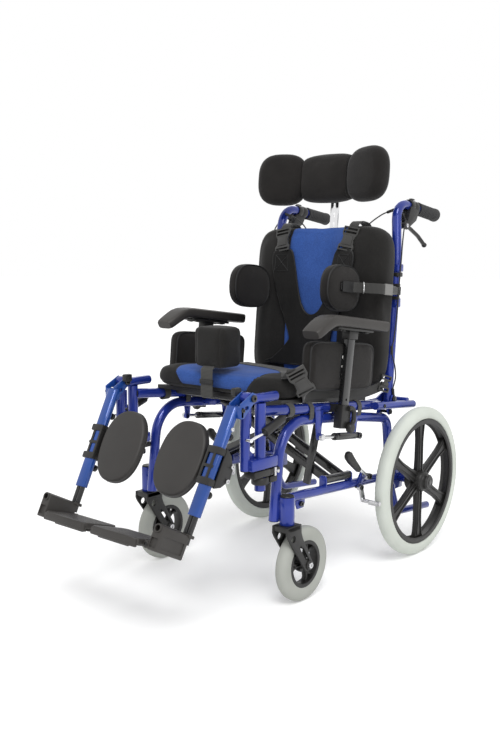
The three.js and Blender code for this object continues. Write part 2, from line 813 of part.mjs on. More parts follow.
function baseFrame() {
  const main = tube([postFoot, topRailFront, topRailKnee, topRailRear, downTubeFoot].map(onFrame), tubeRadius,
    [frontBendRadius, kneeBendRadius, rearBendRadius]);
  const lower = rod(onFrame(lowerRailFront), onFrame(lowerRailRear), lowerRailRadius, tubeSides);
  const head = rod(point(castorStemX, castorStemY, headTubeBottom),
    point(castorStemX, castorStemY, headTubeBottom + headTubeHeight), headTubeRadius);
  const stemBore = rod(point(castorStemX, castorStemY, headTubeBottom - overrun),
    point(castorStemX, castorStemY, headTubeBottom + stemLength + clearance), holeFor(stemRadius));
  const plateMiddleZ = rearWheelRadius;
  const axlePlate = box(frameSide - axlePlateThickness / 2, frameSide + axlePlateThickness / 2,
    downTubeFoot.y - tubeRadius, downTubeFoot.y - tubeRadius + axlePlateLength,
    plateMiddleZ - axlePlateHeight / 2, plateMiddleZ + axlePlateHeight / 2);
  const axle = crossRod(frameSide, rearWheelSide + axleReach, rearAxle, axleRadius);
  const axleShoulder = crossRod(frameSide, rearWheelSide - hubInnerReach - clearance, rearAxle, 2 * axleRadius);
  const tipTube = tube([downTubeFoot, tipTubeKnee, tipTubeEnd].map(onFrame), tipTubeRadius, [tipBendRadius]);
  const lugOuter = frameSide - tiltLugInset;
  const tiltLug = join(
    sidePlate([
      { y: tiltPivot.y - tiltLugRadius, z: tiltPivot.z },
      { y: tiltPivot.y - 2 * tiltLugRadius, z: topRailZ(tiltPivot.y) - tubeRadius / 2 },
      { y: tiltPivot.y + tiltLugRadius, z: topRailZ(tiltPivot.y) - tubeRadius / 2 },
      { y: tiltPivot.y + tiltLugRadius, z: tiltPivot.z },
    ], lugOuter, lugOuter + tiltLugDepth),
    crossRod(lugOuter, lugOuter + tiltLugDepth, tiltPivot, tiltLugRadius),
    crossRod(lugOuter, frameSide + tiltPinReach, tiltPivot, boltRadius),
    crossRod(frameSide + tiltPinReach - tiltPinHeadHeight, frameSide + tiltPinReach, tiltPivot,
      tiltPinHeadRadius),
  );
  const springLug = join(
    sidePlate([
      { y: tiltSpringFoot.y - 2 * springEyeRadius, z: topRailZ(tiltSpringFoot.y) },
      { y: tiltSpringFoot.y - springEyeRadius, z: tiltSpringFoot.z },
      { y: tiltSpringFoot.y, z: tiltSpringFoot.z - springEyeRadius },
      { y: tiltSpringFoot.y + springEyeRadius, z: tiltSpringFoot.z },
      { y: tiltSpringFoot.y + 2 * springEyeRadius, z: topRailZ(tiltSpringFoot.y) },
    ], frameSide + tubeRadius - 2 * plateThickness, tiltSpringPinStart),
    crossRod(tiltSpringPinStart - overrun, tiltSpringSide + springEyeWidth / 2 + runningGap + boltHeadHeight,
      tiltSpringFoot, boltRadius),
    crossRod(tiltSpringSide + springEyeWidth / 2 + runningGap,
      tiltSpringSide + springEyeWidth / 2 + runningGap + boltHeadHeight, tiltSpringFoot, boltHeadRadius),
  );
  const brakePlate = sidePlate([
    { y: brakePivot.y - 3 * boltHeadRadius, z: lowerRailZ(brakePivot.y) },
    { y: brakePivot.y + 2 * boltHeadRadius, z: lowerRailZ(brakePivot.y) },
    { y: brakePivot.y + boltHeadRadius, z: brakePivot.z + boltHeadRadius },
    { y: brakePivot.y - boltHeadRadius, z: brakePivot.z + boltHeadRadius },
    { y: brakeShoePivot.y - boltHeadRadius, z: brakeShoePivot.z + boltHeadRadius },
  ], frameSide + tubeRadius - brakePlateThickness, frameSide + tubeRadius);
  const brakeArmOuter = brakeArmInner + brakeArmThickness + clearance;
  const shoeArmOuter = brakeShoeArmInner + brakeArmThickness + clearance;
  const brakeBolts = join(
    crossRod(frameSide, brakeArmOuter + boltHeadHeight, brakePivot, boltRadius),
    crossRod(brakeArmOuter, brakeArmOuter + boltHeadHeight, brakePivot, boltHeadRadius),
    crossRod(frameSide + tubeRadius - brakePlateThickness, shoeArmOuter + boltHeadHeight / 2, brakeShoePivot,
      boltRadius),
    crossRod(shoeArmOuter, shoeArmOuter + boltHeadHeight / 2, brakeShoePivot, boltHeadRadius),
  );
  const tab = box(frameSide - plateThickness / 2, frameSide + plateThickness / 2,
    lowerTabY - lowerTabLength / 2, lowerTabY + lowerTabLength / 2,
    lowerRailZ(lowerTabY) - lowerRailRadius - lowerTabHeight, lowerRailZ(lowerTabY));
  const footEnd = braceFootFrontY + braceFootLength;
  const footHolders = [braceFootFrontY - runningGap - plateThickness, footEnd + runningGap].map((y) =>
    frontPlate([
      { x: frameSide - braceFootInset - braceFootRadius, z: lowerRailZ(y) },
      { x: frameSide - braceFootInset + braceFootRadius, z: lowerRailZ(y) },
      { x: frameSide - braceFootInset + braceFootRadius, z: lowerRailZ(y) + braceFootRise + braceFootRadius },
      { x: frameSide - braceFootInset - braceFootRadius, z: lowerRailZ(y) + braceFootRise + braceFootRadius },
    ], y, y + plateThickness));
  const headHolders = [braceFootFrontY - clearance - braceLugLength, footEnd + clearance].map((y) =>
    frontPlate([
      { x: braceHead.x - braceHeadRadius, z: braceHead.z - braceHeadRadius },
      { x: braceHead.x, z: topRailZ(y) - tubeRadius / 2 },
      { x: frameSide, z: topRailZ(y) - tubeRadius / 2 },
      { x: frameSide, z: topRailZ(y) + tubeRadius / 2 },
      { x: frameSide - tubeRadius - braceLugGap, z: topRailZ(y) + tubeRadius / 2 },
      { x: braceHead.x + braceHeadRadius, z: braceHead.z + braceHeadRadius / 2 },
      { x: braceHead.x - braceHeadRadius, z: braceHead.z + braceHeadRadius / 2 },
    ], y, y + braceLugLength));
  const whole = join(main, lower, head, axlePlate, axle, axleShoulder, tipTube, tiltLug, springLug,
    brakePlate, brakeBolts, tab, ...footHolders, ...headHolders);
  return cut(whole, stemBore);
}

pair('base_frame', baseFrame(), frameBlue);

// Cross brace: each member's foot tube lies on one lower rail and its head tube under the
// other side's top rail. The front member is bolted through the rear one where they cross.

const braceFootX = frameSide - braceFootInset;
const braceFootMiddleY = braceFootFrontY + braceFootLength / 2;

function braceMember(stagger, footSide) {
  const footZ = (y) => lowerRailZ(y) + braceFootRise;
  const endY = braceFootFrontY + braceFootLength;
  const foot = rod(point(footSide * braceFootX, braceFootFrontY, footZ(braceFootFrontY)),
    point(footSide * braceFootX, endY, footZ(endY)), braceFootRadius, tubeSides);
  const head = rod(point(-footSide * braceHead.x, braceFootFrontY, braceHead.z),
    point(-footSide * braceHead.x, endY, braceHead.z), braceHeadRadius, tubeSides);
  const bars = [0, 1].map((k) => {
    const y = braceBarFrontY + stagger + k * braceBarPitch;
    return bar(point(footSide * braceFootX, y, footZ(y)), point(-footSide * braceHead.x, y, braceHead.z),
      braceBarWidth, braceBarDepth);
  });
  return join(foot, head, ...bars);
}

function braceCrossing() {
  const y = braceFootMiddleY;
  const footZ = lowerRailZ(y) + braceFootRise;
  const share = braceFootX / (braceFootX + braceHead.x);
  return { y, z: footZ + (braceHead.z - footZ) * share };
}

function braceLink() {
  const y = braceBarFrontY - (braceBarDepth + braceLinkDepth) / 2 + bite / 2;
  return bar(point(braceLinkTop.x, y, braceLinkTop.z), point(braceLinkFoot.x, y, braceLinkFoot.z),
    braceLinkWidth, braceLinkDepth);
}

const crossing = braceCrossing();
const braceBolt = (radius, extra) => rod(
  point(0, braceBarFrontY - braceBarDepth / 2 - boltHeadHeight - extra, crossing.z),
  point(0, braceBarFrontY + braceBarPitch + braceBarStagger + braceBarDepth + extra, crossing.z), radius);
const frontMember = join(braceMember(0, 1), braceLink(), braceBolt(boltRadius, 0));
const rearMember = cut(join(braceMember(braceBarStagger, -1)), braceBolt(holeFor(boltRadius), overrun));
part('cross_brace_front', frontMember, blackSteel);
part('cross_brace_rear', rearMember, blackSteel);

// Parking brake: a hand lever and a shoe bar, each on its own bolt from the side frame's plate

function brakeLever() {
  const inner = brakeArmInner;
  const outer = inner + brakeArmThickness;
  const arm = bar(sidePoint((inner + outer) / 2, brakePivot), sidePoint((inner + outer) / 2, brakeGripKnee),
    brakeArmThickness, brakeArmWidth);
  const grip = tube([brakePivotward(), brakeGripKnee, brakeGripTop].map((p) => sidePoint(brakeSide, p)),
    brakeGripRadius, [brakeArmWidth]);
  const hubInner = frameSide + tubeRadius + runningGap;
  const hub = crossRod(hubInner, outer, brakePivot, brakeHubRadius);
  return cut(join(arm, grip, hub), crossRod(frameSide, outer + overrun, brakePivot, holeFor(boltRadius)));
}

function brakePivotward() {
  const share = brakeArmWidth * 2 / Math.hypot(brakePivot.y - brakeGripKnee.y, brakePivot.z - brakeGripKnee.z);
  return {
    y: brakeGripKnee.y + (brakePivot.y - brakeGripKnee.y) * share,
    z: brakeGripKnee.z + (brakePivot.z - brakeGripKnee.z) * share,
  };
}

function brakeShoe() {
  const inner = brakeShoeArmInner;
  const outer = inner + brakeArmThickness;
  const middle = (inner + outer) / 2;
  const arm = bar(sidePoint(middle, brakeShoePivot), sidePoint(middle, brakeShoeTip), brakeArmThickness,
    brakeArmWidth);
  const hub = crossRod(frameSide + tubeRadius + runningGap, outer, brakeShoePivot, brakeShoeHubRadius);
  const shoe = crossRod(inner, brakeShoeReach, brakeShoeTip, brakeShoeRadius);
  return cut(join(arm, hub, shoe), crossRod(frameSide, outer + overrun, brakeShoePivot, holeFor(boltRadius)));
}

pair('brake_lever', brakeLever(), blackPlastic);
pair('brake_shoe', brakeShoe(), brightSteel);

// Gas springs: a rod that runs in a bored cylinder, with an eye at each far end

const between = (from, to, distance) => {
  const along = to.clone().sub(from);
  return from.clone().addScaledVector(along, distance / along.length());
};

function springCylinder(side, eye, far, radius, length, rodRadius) {
  const from = sidePoint(side, eye);
  const to = sidePoint(side, far);
  const end = between(from, to, length);
  const start = between(from, to, springEyeRadius + springWall);
  const neck = rod(between(from, to, springEyeRadius - springWall),
    between(from, to, springEyeRadius + 2 * springWall), springEyeWidth / 2);
  const eyeBlock = crossRod(side - springEyeWidth / 2, side + springEyeWidth / 2, eye, springEyeRadius);
  const bore = rod(between(from, to, springEyeRadius * 2 + springWall), between(from, to, length + overrun),
    holeFor(rodRadius));
  const pinHole = crossRod(side - springEyeWidth, side + springEyeWidth, eye, holeFor(boltRadius));
  return cut(join(eyeBlock, neck, rod(start, end, radius)), bore, pinHole);
}

function springRod(side, eye, far, radius, length) {
  const from = sidePoint(side, eye);
  const to = sidePoint(side, far);
  const eyeBlock = crossRod(side - springEyeWidth / 2, side + springEyeWidth / 2, eye, springEyeRadius);
  const pinHole = crossRod(side - springEyeWidth, side + springEyeWidth, eye, holeFor(boltRadius));
  const shaft = rod(between(from, to, boltRadius + springWall), between(from, to, length), radius);
  return cut(join(eyeBlock, shaft), pinHole);
}

const tiltSpringLength = Math.hypot(tiltSpringHead.y - tiltSpringFoot.y, tiltSpringHead.z - tiltSpringFoot.z);
pair('tilt_cylinder', springCylinder(tiltSpringSide, tiltSpringFoot, tiltSpringHead, tiltCylinderRadius,
  tiltCylinderLength, tiltRodRadius), blackSteel);
pair('tilt_rod', springRod(tiltSpringSide, tiltSpringHead, tiltSpringFoot, tiltRodRadius,
  tiltSpringLength - 2 * springEyeRadius - 2 * springWall - runningGap), brightSteel);

const reclineSpringLength = Math.hypot(reclineSpringHead.y - reclineSpringFoot.y,
  reclineSpringHead.z - reclineSpringFoot.z);
pair('recline_cylinder', springCylinder(reclineSpringSide, reclineSpringHead, reclineSpringFoot,
  reclineCylinderRadius, reclineCylinderLength, reclineRodRadius), blackSteel);
pair('recline_rod', springRod(reclineSpringSide, reclineSpringFoot, reclineSpringHead, reclineRodRadius,
  reclineSpringLength - reclineCylinderLength + reclineRodInside), brightSteel);

// Seat rail: the rail, the leg-rest post, the rear extension outside the cane, the lugs that
// carry the tilt pin, both gas springs and the recline pin, and the armrest's socket

const seatRailZ = (y) => railZ(seatRailFront, seatRailRear, y);
const extensionZ = (y) => railZ(seatRailFront, railExtensionRear, y);
const armTurn = Math.atan2(armPostTop.y - armPostBottom.y, armPostTop.z - armPostBottom.z);
const onArmPost = (geometry) => geometry.rotateX(-armTurn).translate(armSide, armPostBottom.y, armPostBottom.z);
const armPostLength = Math.hypot(armPostTop.y - armPostBottom.y, armPostTop.z - armPostBottom.z);

function armSocket() {
  const halfX = armPostWidth / 2 + armSocketWall;
  const halfY = armPostDepth / 2 + armSocketWall;
  const body = box(-halfX, halfX, -halfY, halfY, -armSocketFloor, armSocketHeight - armSocketFloor);
  const arm = box(frameSide - armSide, 0, -halfY, halfY, armSocketHeight / 2, armSocketHeight - armSocketFloor);
  return [onArmPost(body), onArmPost(arm)];
}

function armSocketBore() {
  const halfX = armPostWidth / 2 + clearance;
  const halfY = armPostDepth / 2 + clearance;
  return onArmPost(box(-halfX, halfX, -halfY, halfY, -clearance, armSocketHeight + overrun));
}

function seatRail() {
  const rail = rod(sidePoint(frameSide, seatRailFront), sidePoint(frameSide, seatRailRear), seatRailRadius,
    tubeSides);
  const legPostTop = hangerArmZ - flatOf(hangerTubeRadius) - clearance;
  const post = rod(point(legPostX, legPostY, legPostBottom), point(legPostX, legPostY, legPostTop), tubeRadius,
    tubeSides);
  const extension = rod(point(railExtensionSide, railExtensionFrontY, extensionZ(railExtensionFrontY)),
    sidePoint(railExtensionSide, railExtensionRear), railExtensionRadius, tubeSides);
  const jointMiddleZ = extensionZ(railExtensionFrontY + railJointLength / 2);
  const railJoint = box(frameSide, railExtensionSide, railExtensionFrontY, railExtensionFrontY + railJointLength,
    jointMiddleZ - railJointHeight / 2, jointMiddleZ + railJointHeight / 2);
  const lugInner = frameSide + tubeRadius + seatTiltLugGap;
  const lugOuter = lugInner + seatTiltLugThickness;
  const tiltLug = join(
    sidePlate([
      { y: tiltPivot.y - tiltLugRadius, z: tiltPivot.z },
      { y: tiltPivot.y - 2 * tiltLugRadius, z: extensionZ(tiltPivot.y) },
      { y: tiltPivot.y + 2 * tiltLugRadius, z: extensionZ(tiltPivot.y) },
      { y: tiltPivot.y + tiltLugRadius, z: tiltPivot.z },
    ], lugInner, lugOuter),
    crossRod(lugInner, lugOuter, tiltPivot, tiltLugRadius),
  );
  const plateOuter = frameSide - tubeRadius - 2 * clearance;
  const plateInner = plateOuter - reclinePlateThickness;
  const reclinePlate = join(
    sidePlate([
      { y: reclinePlateFrontY, z: reclinePlateBottom },
      { y: reclinePlateRearY, z: reclinePlateBottom },
      { y: reclinePlateRearY, z: reclinePivot.z },
      { y: reclinePivot.y + reclineHubRadius / 2, z: reclinePlateTop },
      { y: reclinePivot.y - reclineHubRadius / 2, z: reclinePlateTop },
      { y: reclinePlateStepY, z: reclinePlateStepTop },
      { y: reclinePlateFrontY, z: reclinePlateStepTop },
    ], plateInner, plateOuter),
    box(plateOuter - bite, frameSide - seatRailRadius / 2, reclinePlateFrontY, seatRailRear.y - overrun,
      seatRailZ(seatRailRear.y) - seatRailRadius / 2, seatRailZ(seatRailRear.y) + seatRailRadius / 2),
    crossRod(plateInner, railExtensionSide, reclinePivot, reclinePinRadius),
    sidePlate([
      { y: reclinePivot.y - reclineHubRadius, z: extensionZ(reclinePivot.y) },
      { y: reclinePivot.y + reclineHubRadius, z: extensionZ(reclinePivot.y) },
      { y: reclinePivot.y + reclineHubRadius, z: reclinePivot.z },
      { y: reclinePivot.y, z: reclinePivot.z + reclineHubRadius },
      { y: reclinePivot.y - reclineHubRadius, z: reclinePivot.z },
    ], lugInner, lugOuter),
  );
  const springLugInner = frameSide + tubeRadius + runningGap;
  const springLug = join(
    sidePlate([
      { y: tiltSpringHead.y - springEyeRadius, z: tiltSpringHead.z },
      { y: tiltSpringHead.y - 2 * springEyeRadius, z: seatRailZ(tiltSpringHead.y) },
      { y: tiltSpringHead.y + 2 * springEyeRadius, z: seatRailZ(tiltSpringHead.y) },
      { y: tiltSpringHead.y + springEyeRadius, z: tiltSpringHead.z },
    ], springLugInner, springLugInner + plateThickness),
    crossRod(springLugInner, tiltSpringSide - springEyeWidth / 2 - clearance, tiltSpringHead, springEyeRadius),
    box(frameSide, springLugInner + plateThickness, tiltSpringHead.y - 2 * springEyeRadius,
      tiltSpringHead.y + 2 * springEyeRadius, seatRailZ(tiltSpringHead.y) - seatRailRadius / 2,
      seatRailZ(tiltSpringHead.y) + seatRailRadius / 2),
  );
  const footEyeX = reclineSpringSide + springEyeWidth / 2 + runningGap;
  const reclineFoot = join(
    crossRod(reclineSpringSide - springEyeWidth / 2 - runningGap, railExtensionSide, reclineSpringFoot,
      boltRadius),
    crossRod(footEyeX, railExtensionSide, reclineSpringFoot, springEyeRadius),
  );
  const pinHole = crossRod(frameSide, lugOuter + overrun, tiltPivot, holeFor(boltRadius));
  const whole = join(rail, post, extension, railJoint, tiltLug, reclinePlate, springLug, reclineFoot,
    ...armSocket());
  return cut(whole, pinHole, armSocketBore());
}

pair('seat_rail', seatRail(), frameBlue);

// Seat: a board on the rails with two cross tubes, and its cushion

const seat = new THREE.Group();
const seatMiddleY = (seatBoardFrontY + seatBoardRearY) / 2;
seat.position.set(0, seatMiddleY, seatRailZ(seatMiddleY));
seat.rotation.x = -seatSlope;
chair.add(seat);

const boardBottom = seatRailRadius + clearance;
const boardTop = boardBottom + seatBoardThickness;

function seatPan() {
  const halfWidth = seatBoardWidth / 2;
  const half = (seatBoardRearY - seatBoardFrontY) / 2;
  const reach = frameSide - seatRailRadius - clearance;
  const tubes = [crossTubeFrontY, crossTubeRearY].map((y) =>
    crossRod(-reach, reach, { y: y - seatMiddleY, z: boardBottom - crossTubeRadius / 2 }, crossTubeRadius));
  return join(box(-halfWidth, halfWidth, -half, half, boardBottom, boardTop), ...tubes);
}

const seatCushion = padded({ width: seatCushionWidth, length: seatCushionLength,
  thickness: seatCushionThickness, crown: seatCushionCrown, edge: seatCushionEdge,
  squareness: seatSquareness, drawIn: cushionDrawIn, around: 28, fine: true });
const seatCushionFlatBottom = cut(seatCushion, box(-seatBoardWidth, seatBoardWidth, -seatCushionLength,
  seatCushionLength, -seatCushionThickness, -seatCushionThickness / 2));
part('seat_pan', seatPan(), blackPlastic, point(0, 0, 0), seat);
part('seat_cushion', seatCushionFlatBottom, blackMesh,
  point(0, seatCushionFrontY + seatCushionLength / 2 - seatMiddleY,
    boardTop + clearance + seatCushionThickness / 2), seat);

// Pommel: a padded block over the front of the seat, held by a strap plate on the board's edge

function pommel() {
  const block = padded({ width: pommelWidth, length: pommelHeight, thickness: pommelDepth - 2 * pommelCrown,
    crown: pommelCrown, edge: pommelEdge, squareness: pommelSquareness, drawIn: padDrawIn, around: 20 })
    .rotateX(quarterTurn).translate(0, pommelY, pommelBaseZ + pommelHeight / 2);
  const front = seatCushionFrontY - pommelStrapGap - pommelStrapThickness;
  const half = pommelStrapWidth / 2;
  const back = front + pommelStrapThickness;
  const strap = box(-half, half, front, back, pommelStrapBottom, pommelBaseZ + pommelEdge);
  const boardEdgeY = seatMiddleY - (seatMiddleY - seatBoardFrontY) * Math.cos(seatSlope)
    + boardBottom * Math.sin(seatSlope);
  const seatEnd = box(-half, half, front, boardEdgeY - clearance, pommelStrapBottom,
    pommelStrapBottom + pommelStrapFootHeight);
  const padEnd = box(-half, half, front, pommelY, pommelBaseZ + pommelEdge / 2, pommelBaseZ + pommelEdge);
  return join(block, strap, seatEnd, padEnd);
}

part('pommel', pommel(), blackMesh);

// Armrests: a flat post with a plate under the pad, which slides in the rail's socket

const armPadSlope = Math.atan2(armPadFront.z - armPadRear.z, armPadRear.y - armPadFront.y);
const armPadZ = (y) => railZ(armPadFront, armPadRear, y);

function armPost() {
  const plateY = armPostTop.y;
  const top = armPadZ(plateY) - armPadThickness / 2 / Math.cos(armPadSlope) - clearance;
  const plate = box(-armPlateWidth / 2, armPlateWidth / 2, -armPlateLength / 2, armPlateLength / 2,
    -armPlateThickness, 0).rotateX(-armPadSlope).translate(armSide, plateY, top);
  const post = onArmPost(box(-armPostWidth / 2, armPostWidth / 2, -armPostDepth / 2, armPostDepth / 2, 0,
    armPostLength - armPlateThickness / 2));
  return join(post, plate);
}

const armPad = sweep([armPadRear, armPadFront, armPadTip].map((p) => sidePoint(armSide, p)),
  barSection(armPadWidth, armPadThickness, armPadEdge), [armPadNoseRadius]);
const hipPad = padded({ width: hipPadHeight, length: hipPadLength, thickness: hipPadThickness,
  crown: hipPadCrown, edge: hipPadEdge, squareness: hipPadSquareness, drawIn: padDrawIn, around: 16 })
  .rotateY(quarterTurn).rotateX(-seatSlope);
const hipPadSide = armSide - armPostWidth / 2 - clearance - hipPadThickness / 2 - hipPadCrown;
pair('armrest_post', armPost(), blackSteel);
pair('armrest_pad', armPad, greyPlastic);
pair('hip_pad', hipPad, blackMesh, point(hipPadSide, hipPadY, hipPadZ));

// Backrest, drawn upright about the foot of the canes and leaned back

const back = new THREE.Group();
const caneFootY = caneYAt(caneFootZ);
back.position.set(0, caneFootY, caneFootZ);
back.rotation.x = -backLean;
chair.add(back);

function caneYAt(z) {
  return caneKnee.y - (caneKnee.z - z) * Math.tan(backLean);
}

const backBoardRear = tubeRadius + clearance;
const backBoardFront = backBoardRear + backBoardThickness;
const cushionRear = backBoardFront + clearance;
const cushionFront = cushionRear + backCushionThickness;
const lateralHingeForward = (backBoardRear + backBoardFront) / 2;

const clampSide = caneTopSide + (frameSide - caneTopSide) / 4;

function cane() {
  const foot = point(frameSide, caneFootY, caneFootZ);
  const knee = sidePoint(frameSide, caneKnee);
  const main = tube([foot, knee, sidePoint(caneTopSide, caneTop), sidePoint(caneGripSide, caneEnd)], tubeRadius,
    [caneKneeRadius, caneTopRadius]);
  const bracket = crossRod(reclineSpringSide + springEyeWidth / 2 + clearance, frameSide, reclineSpringHead,
    springEyeRadius);
  const inner = clampSide - leverClampWidth / 2;
  const outer = clampSide + leverClampWidth / 2;
  const cheek = [
    leverClampFront,
    leverWaistFront,
    { y: leverPivot.y - boltHeadRadius, z: leverPivot.z },
    { y: leverPivot.y - boltHeadRadius, z: leverPivot.z - boltHeadRadius },
    { y: leverPivot.y + boltHeadRadius, z: leverPivot.z - boltHeadRadius },
    leverWaistRear,
    leverClampRear,
  ];
  const clamp = join(
    sidePlate([leverClampFront, leverWaistFront, leverWaistRear, leverClampRear], inner, outer),
    crossRod(inner, outer, leverPivot, boltRadius),
    sidePlate(cheek, inner, inner + leverForkThickness),
    sidePlate(cheek, outer - leverForkThickness, outer),
  );
  const pinHole = crossRod(frameSide - 2 * tubeRadius, frameSide + 2 * tubeRadius, reclinePivot,
    holeFor(reclinePinRadius));
  return cut(join(main, bracket, clamp), pinHole);
}

function pushGrip() {
  const top = sidePoint(caneTopSide, caneTop);
  const end = sidePoint(caneGripSide, caneEnd);
  const along = end.clone().sub(top).normalize();
  const start = end.clone().addScaledVector(along, -gripLength);
  const close = end.clone().addScaledVector(along, gripWall + clearance);
  return cut(rod(start, close, holeFor(tubeRadius) + gripWall, roundSides),
    rod(start.clone().addScaledVector(along, -overrun), end.clone().addScaledVector(along, clearance),
      holeFor(tubeRadius), roundSides));
}

function brakeHandle() {
  const width = leverClampWidth - 2 * leverForkThickness - 2 * clearance;
  const hub = crossRod(clampSide - width / 2, clampSide + width / 2, leverPivot, boltHeadRadius);
  const shaft = tube([leverPivot, leverKnee, leverTip].map((p) => sidePoint(clampSide, p)), leverRadius,
    [leverBend], tubeSides);
  const ball = new THREE.SphereGeometry(leverBallRadius, roundSides, roundSides / 2)
    .translate(clampSide, leverTip.y, leverTip.z);
  return cut(join(hub, shaft, ball),
    crossRod(clampSide - width, clampSide + width, leverPivot, holeFor(boltRadius)));
}

function backBoard() {
  const half = backBoardWidth / 2;
  const reach = frameSide - flatOf(tubeRadius) - clearance;
  const board = box(-half, half, -backBoardFront, -backBoardRear, backBoardBottom, backBoardTop);
  const bars = [backBarLow, backBarHigh].map((z) =>
    crossRod(-reach, reach, { y: -backBarInset, z }, backBarRadius));
  const ears = [-1, 1].map((side) => {
    const outer = side * (lateralArmSide - lateralPinRadius / 2);
    return box(Math.min(side * (half - overrun), outer), Math.max(side * (half - overrun), outer),
      -backBoardFront, -backBoardRear, lateralPadUp - lateralArmWidth / 2 - runningGap - lateralEarWall,
      lateralPadUp + lateralArmWidth / 2 + runningGap + lateralEarWall);
  });
  const holderBlock = (low, high) => box(-headHolderWidth / 2, headHolderWidth / 2, -backBoardRear - bite,
    headHolderDepth - backBoardRear, low, high);
  const holder = holderBlock(backBoardTop - headHolderHeight, backBoardTop);
  const stop = holderBlock(headPostBottom - clearance - headStopHeight, headPostBottom - clearance);
  const pins = [-1, 1].map((side) => rod(
    point(side * lateralArmSide, -lateralHingeForward, lateralPadUp - lateralEarHeight / 2),
    point(side * lateralArmSide, -lateralHingeForward, lateralPadUp + lateralEarHeight / 2), lateralPinRadius));
  const gaps = [-1, 1].map((side) => {
    const inner = side * (lateralArmSide - lateralHingeRadius - 2 * clearance);
    const outer = side * (lateralArmSide + lateralHingeRadius);
    return box(Math.min(inner, outer), Math.max(inner, outer), -backBoardFront - bite, bite - backBoardRear,
      lateralPadUp - lateralArmWidth / 2 - runningGap, lateralPadUp + lateralArmWidth / 2 + runningGap);
  });
  const channel = box(-headPostWidth / 2 - clearance, headPostWidth / 2 + clearance,
    -backBoardRear + clearance / 3, -headPostOffset + clearance, headPostBottom - clearance,
    backBoardTop + overrun);
  return join(cut(join(board, ...ears, holder, stop), channel, ...gaps), ...bars, ...pins);
}

const backCushion = padded({ width: backCushionWidth, length: backCushionTop - backCushionBottom,
  thickness: backCushionThickness, crown: backCushionCrown, edge: backCushionEdge, squareness: backSquareness,
  drawIn: cushionDrawIn, around: 32, fine: true });
const backCushionFlatRear = cut(backCushion, box(-backCushionWidth, backCushionWidth, -backCushionWidth,
  backCushionWidth, -backCushionThickness, -backCushionThickness / 2)).rotate([90, 0, 0]);

function chestHarness() {
  const front = cushionFront + backCushionCrown + clearance + harnessThickness;
  const outline = [harnessFoot, harnessWaist, harnessChest, harnessArmOuter, harnessTopOuter, harnessTopInner,
    harnessArmInner, harnessNeckSide, harnessNeckFoot];
  const mirrored = outline.map((p) => ({ x: -p.x, z: p.z })).reverse();
  return frontPlate([...outline, ...mirrored], -front, -front + harnessThickness);
}

pair('cane', cane(), frameBlue);
pair('push_grip', pushGrip(), gripRubber);
pair('brake_handle', brakeHandle(), blackPlastic);
part('back_board', backBoard(), blackPlastic, point(0, 0, 0), back);
part('back_cushion', backCushionFlatRear, blackMesh, point(0, -(cushionRear + cushionFront) / 2,
  (backCushionBottom + backCushionTop) / 2), back);
part('chest_harness', chestHarness(), webbing, point(0, 0, 0), back);

// Lateral chest pads on arms that hinge beside the canes

function lateralPad() {
  const pad = padded({ width: lateralPadHeight, length: lateralPadLength,
    thickness: lateralPadThickness, crown: lateralPadCrown, edge: lateralPadEdge,
    squareness: lateralPadSquareness, drawIn: 0, around: 16 })
    .rotateY(quarterTurn).translate(lateralPadSide, -lateralPadForward, lateralPadUp);
  const wristSide = lateralPadSide + lateralPadThickness / 2 + lateralPadCrown + lateralArmThickness / 3;
  const arm = sweep([
    point(lateralArmSide, -lateralHingeForward - lateralHingeRadius + bite, lateralPadUp),
    point(lateralArmSide, -lateralElbowForward, lateralPadUp),
    point(wristSide, -lateralWristForward, lateralPadUp),
    point(wristSide, -lateralPadForward - lateralPadLength / 5, lateralPadUp),
  ], barSection(lateralArmWidth, lateralArmThickness, lateralArmThickness / 5),
  [lateralBendRadius, lateralBendRadius]);
  const low = point(lateralArmSide, -lateralHingeForward, lateralPadUp - lateralArmWidth / 2);
  const high = point(lateralArmSide, -lateralHingeForward, lateralPadUp + lateralArmWidth / 2);
  const knuckle = rod(low, high, lateralHingeRadius);
  const bore = rod(low.clone().setZ(low.z - overrun), high.clone().setZ(high.z + overrun),
    holeFor(lateralPinRadius));
  return cut(join(pad, arm, knuckle), bore);
}

pair('lateral_pad', lateralPad(), blackMesh, point(0, 0, 0), back);

// Headrest: a centre pad and two wings on a flat post that slides in the back board's holder

const headHingeUp = headPadBottom + headPadHeight / 2;
const headPadRear = headPostOffset + headPostThickness + clearance;

function headPost() {
  const halfWidth = headPostWidth / 2;
  const rear = -headPostOffset;
  const front = rear - headPostThickness;
  const carrierHalf = headCarrierHeight / 2;
  const pinEnd = headHingeLength / 2 + headCarrierHeight / 4;
  const carrier = [-1, 1].map((end) => box(
    -headHingeSide - headHingeRadius / 2, headHingeSide + headHingeRadius / 2, front, rear,
    headHingeUp + end * pinEnd - carrierHalf / 2, headHingeUp + end * pinEnd + carrierHalf / 2));
  const pins = [-1, 1].map((side) => rod(
    point(side * headHingeSide, (front + rear) / 2, headHingeUp - pinEnd - carrierHalf / 2),
    point(side * headHingeSide, (front + rear) / 2, headHingeUp + pinEnd + carrierHalf / 2),
    headHingePinRadius));
  const flat = box(-halfWidth, halfWidth, front, rear, headPostBottom, headPostTop + headHingeLength);
  return join(flat, ...carrier, ...pins);
}

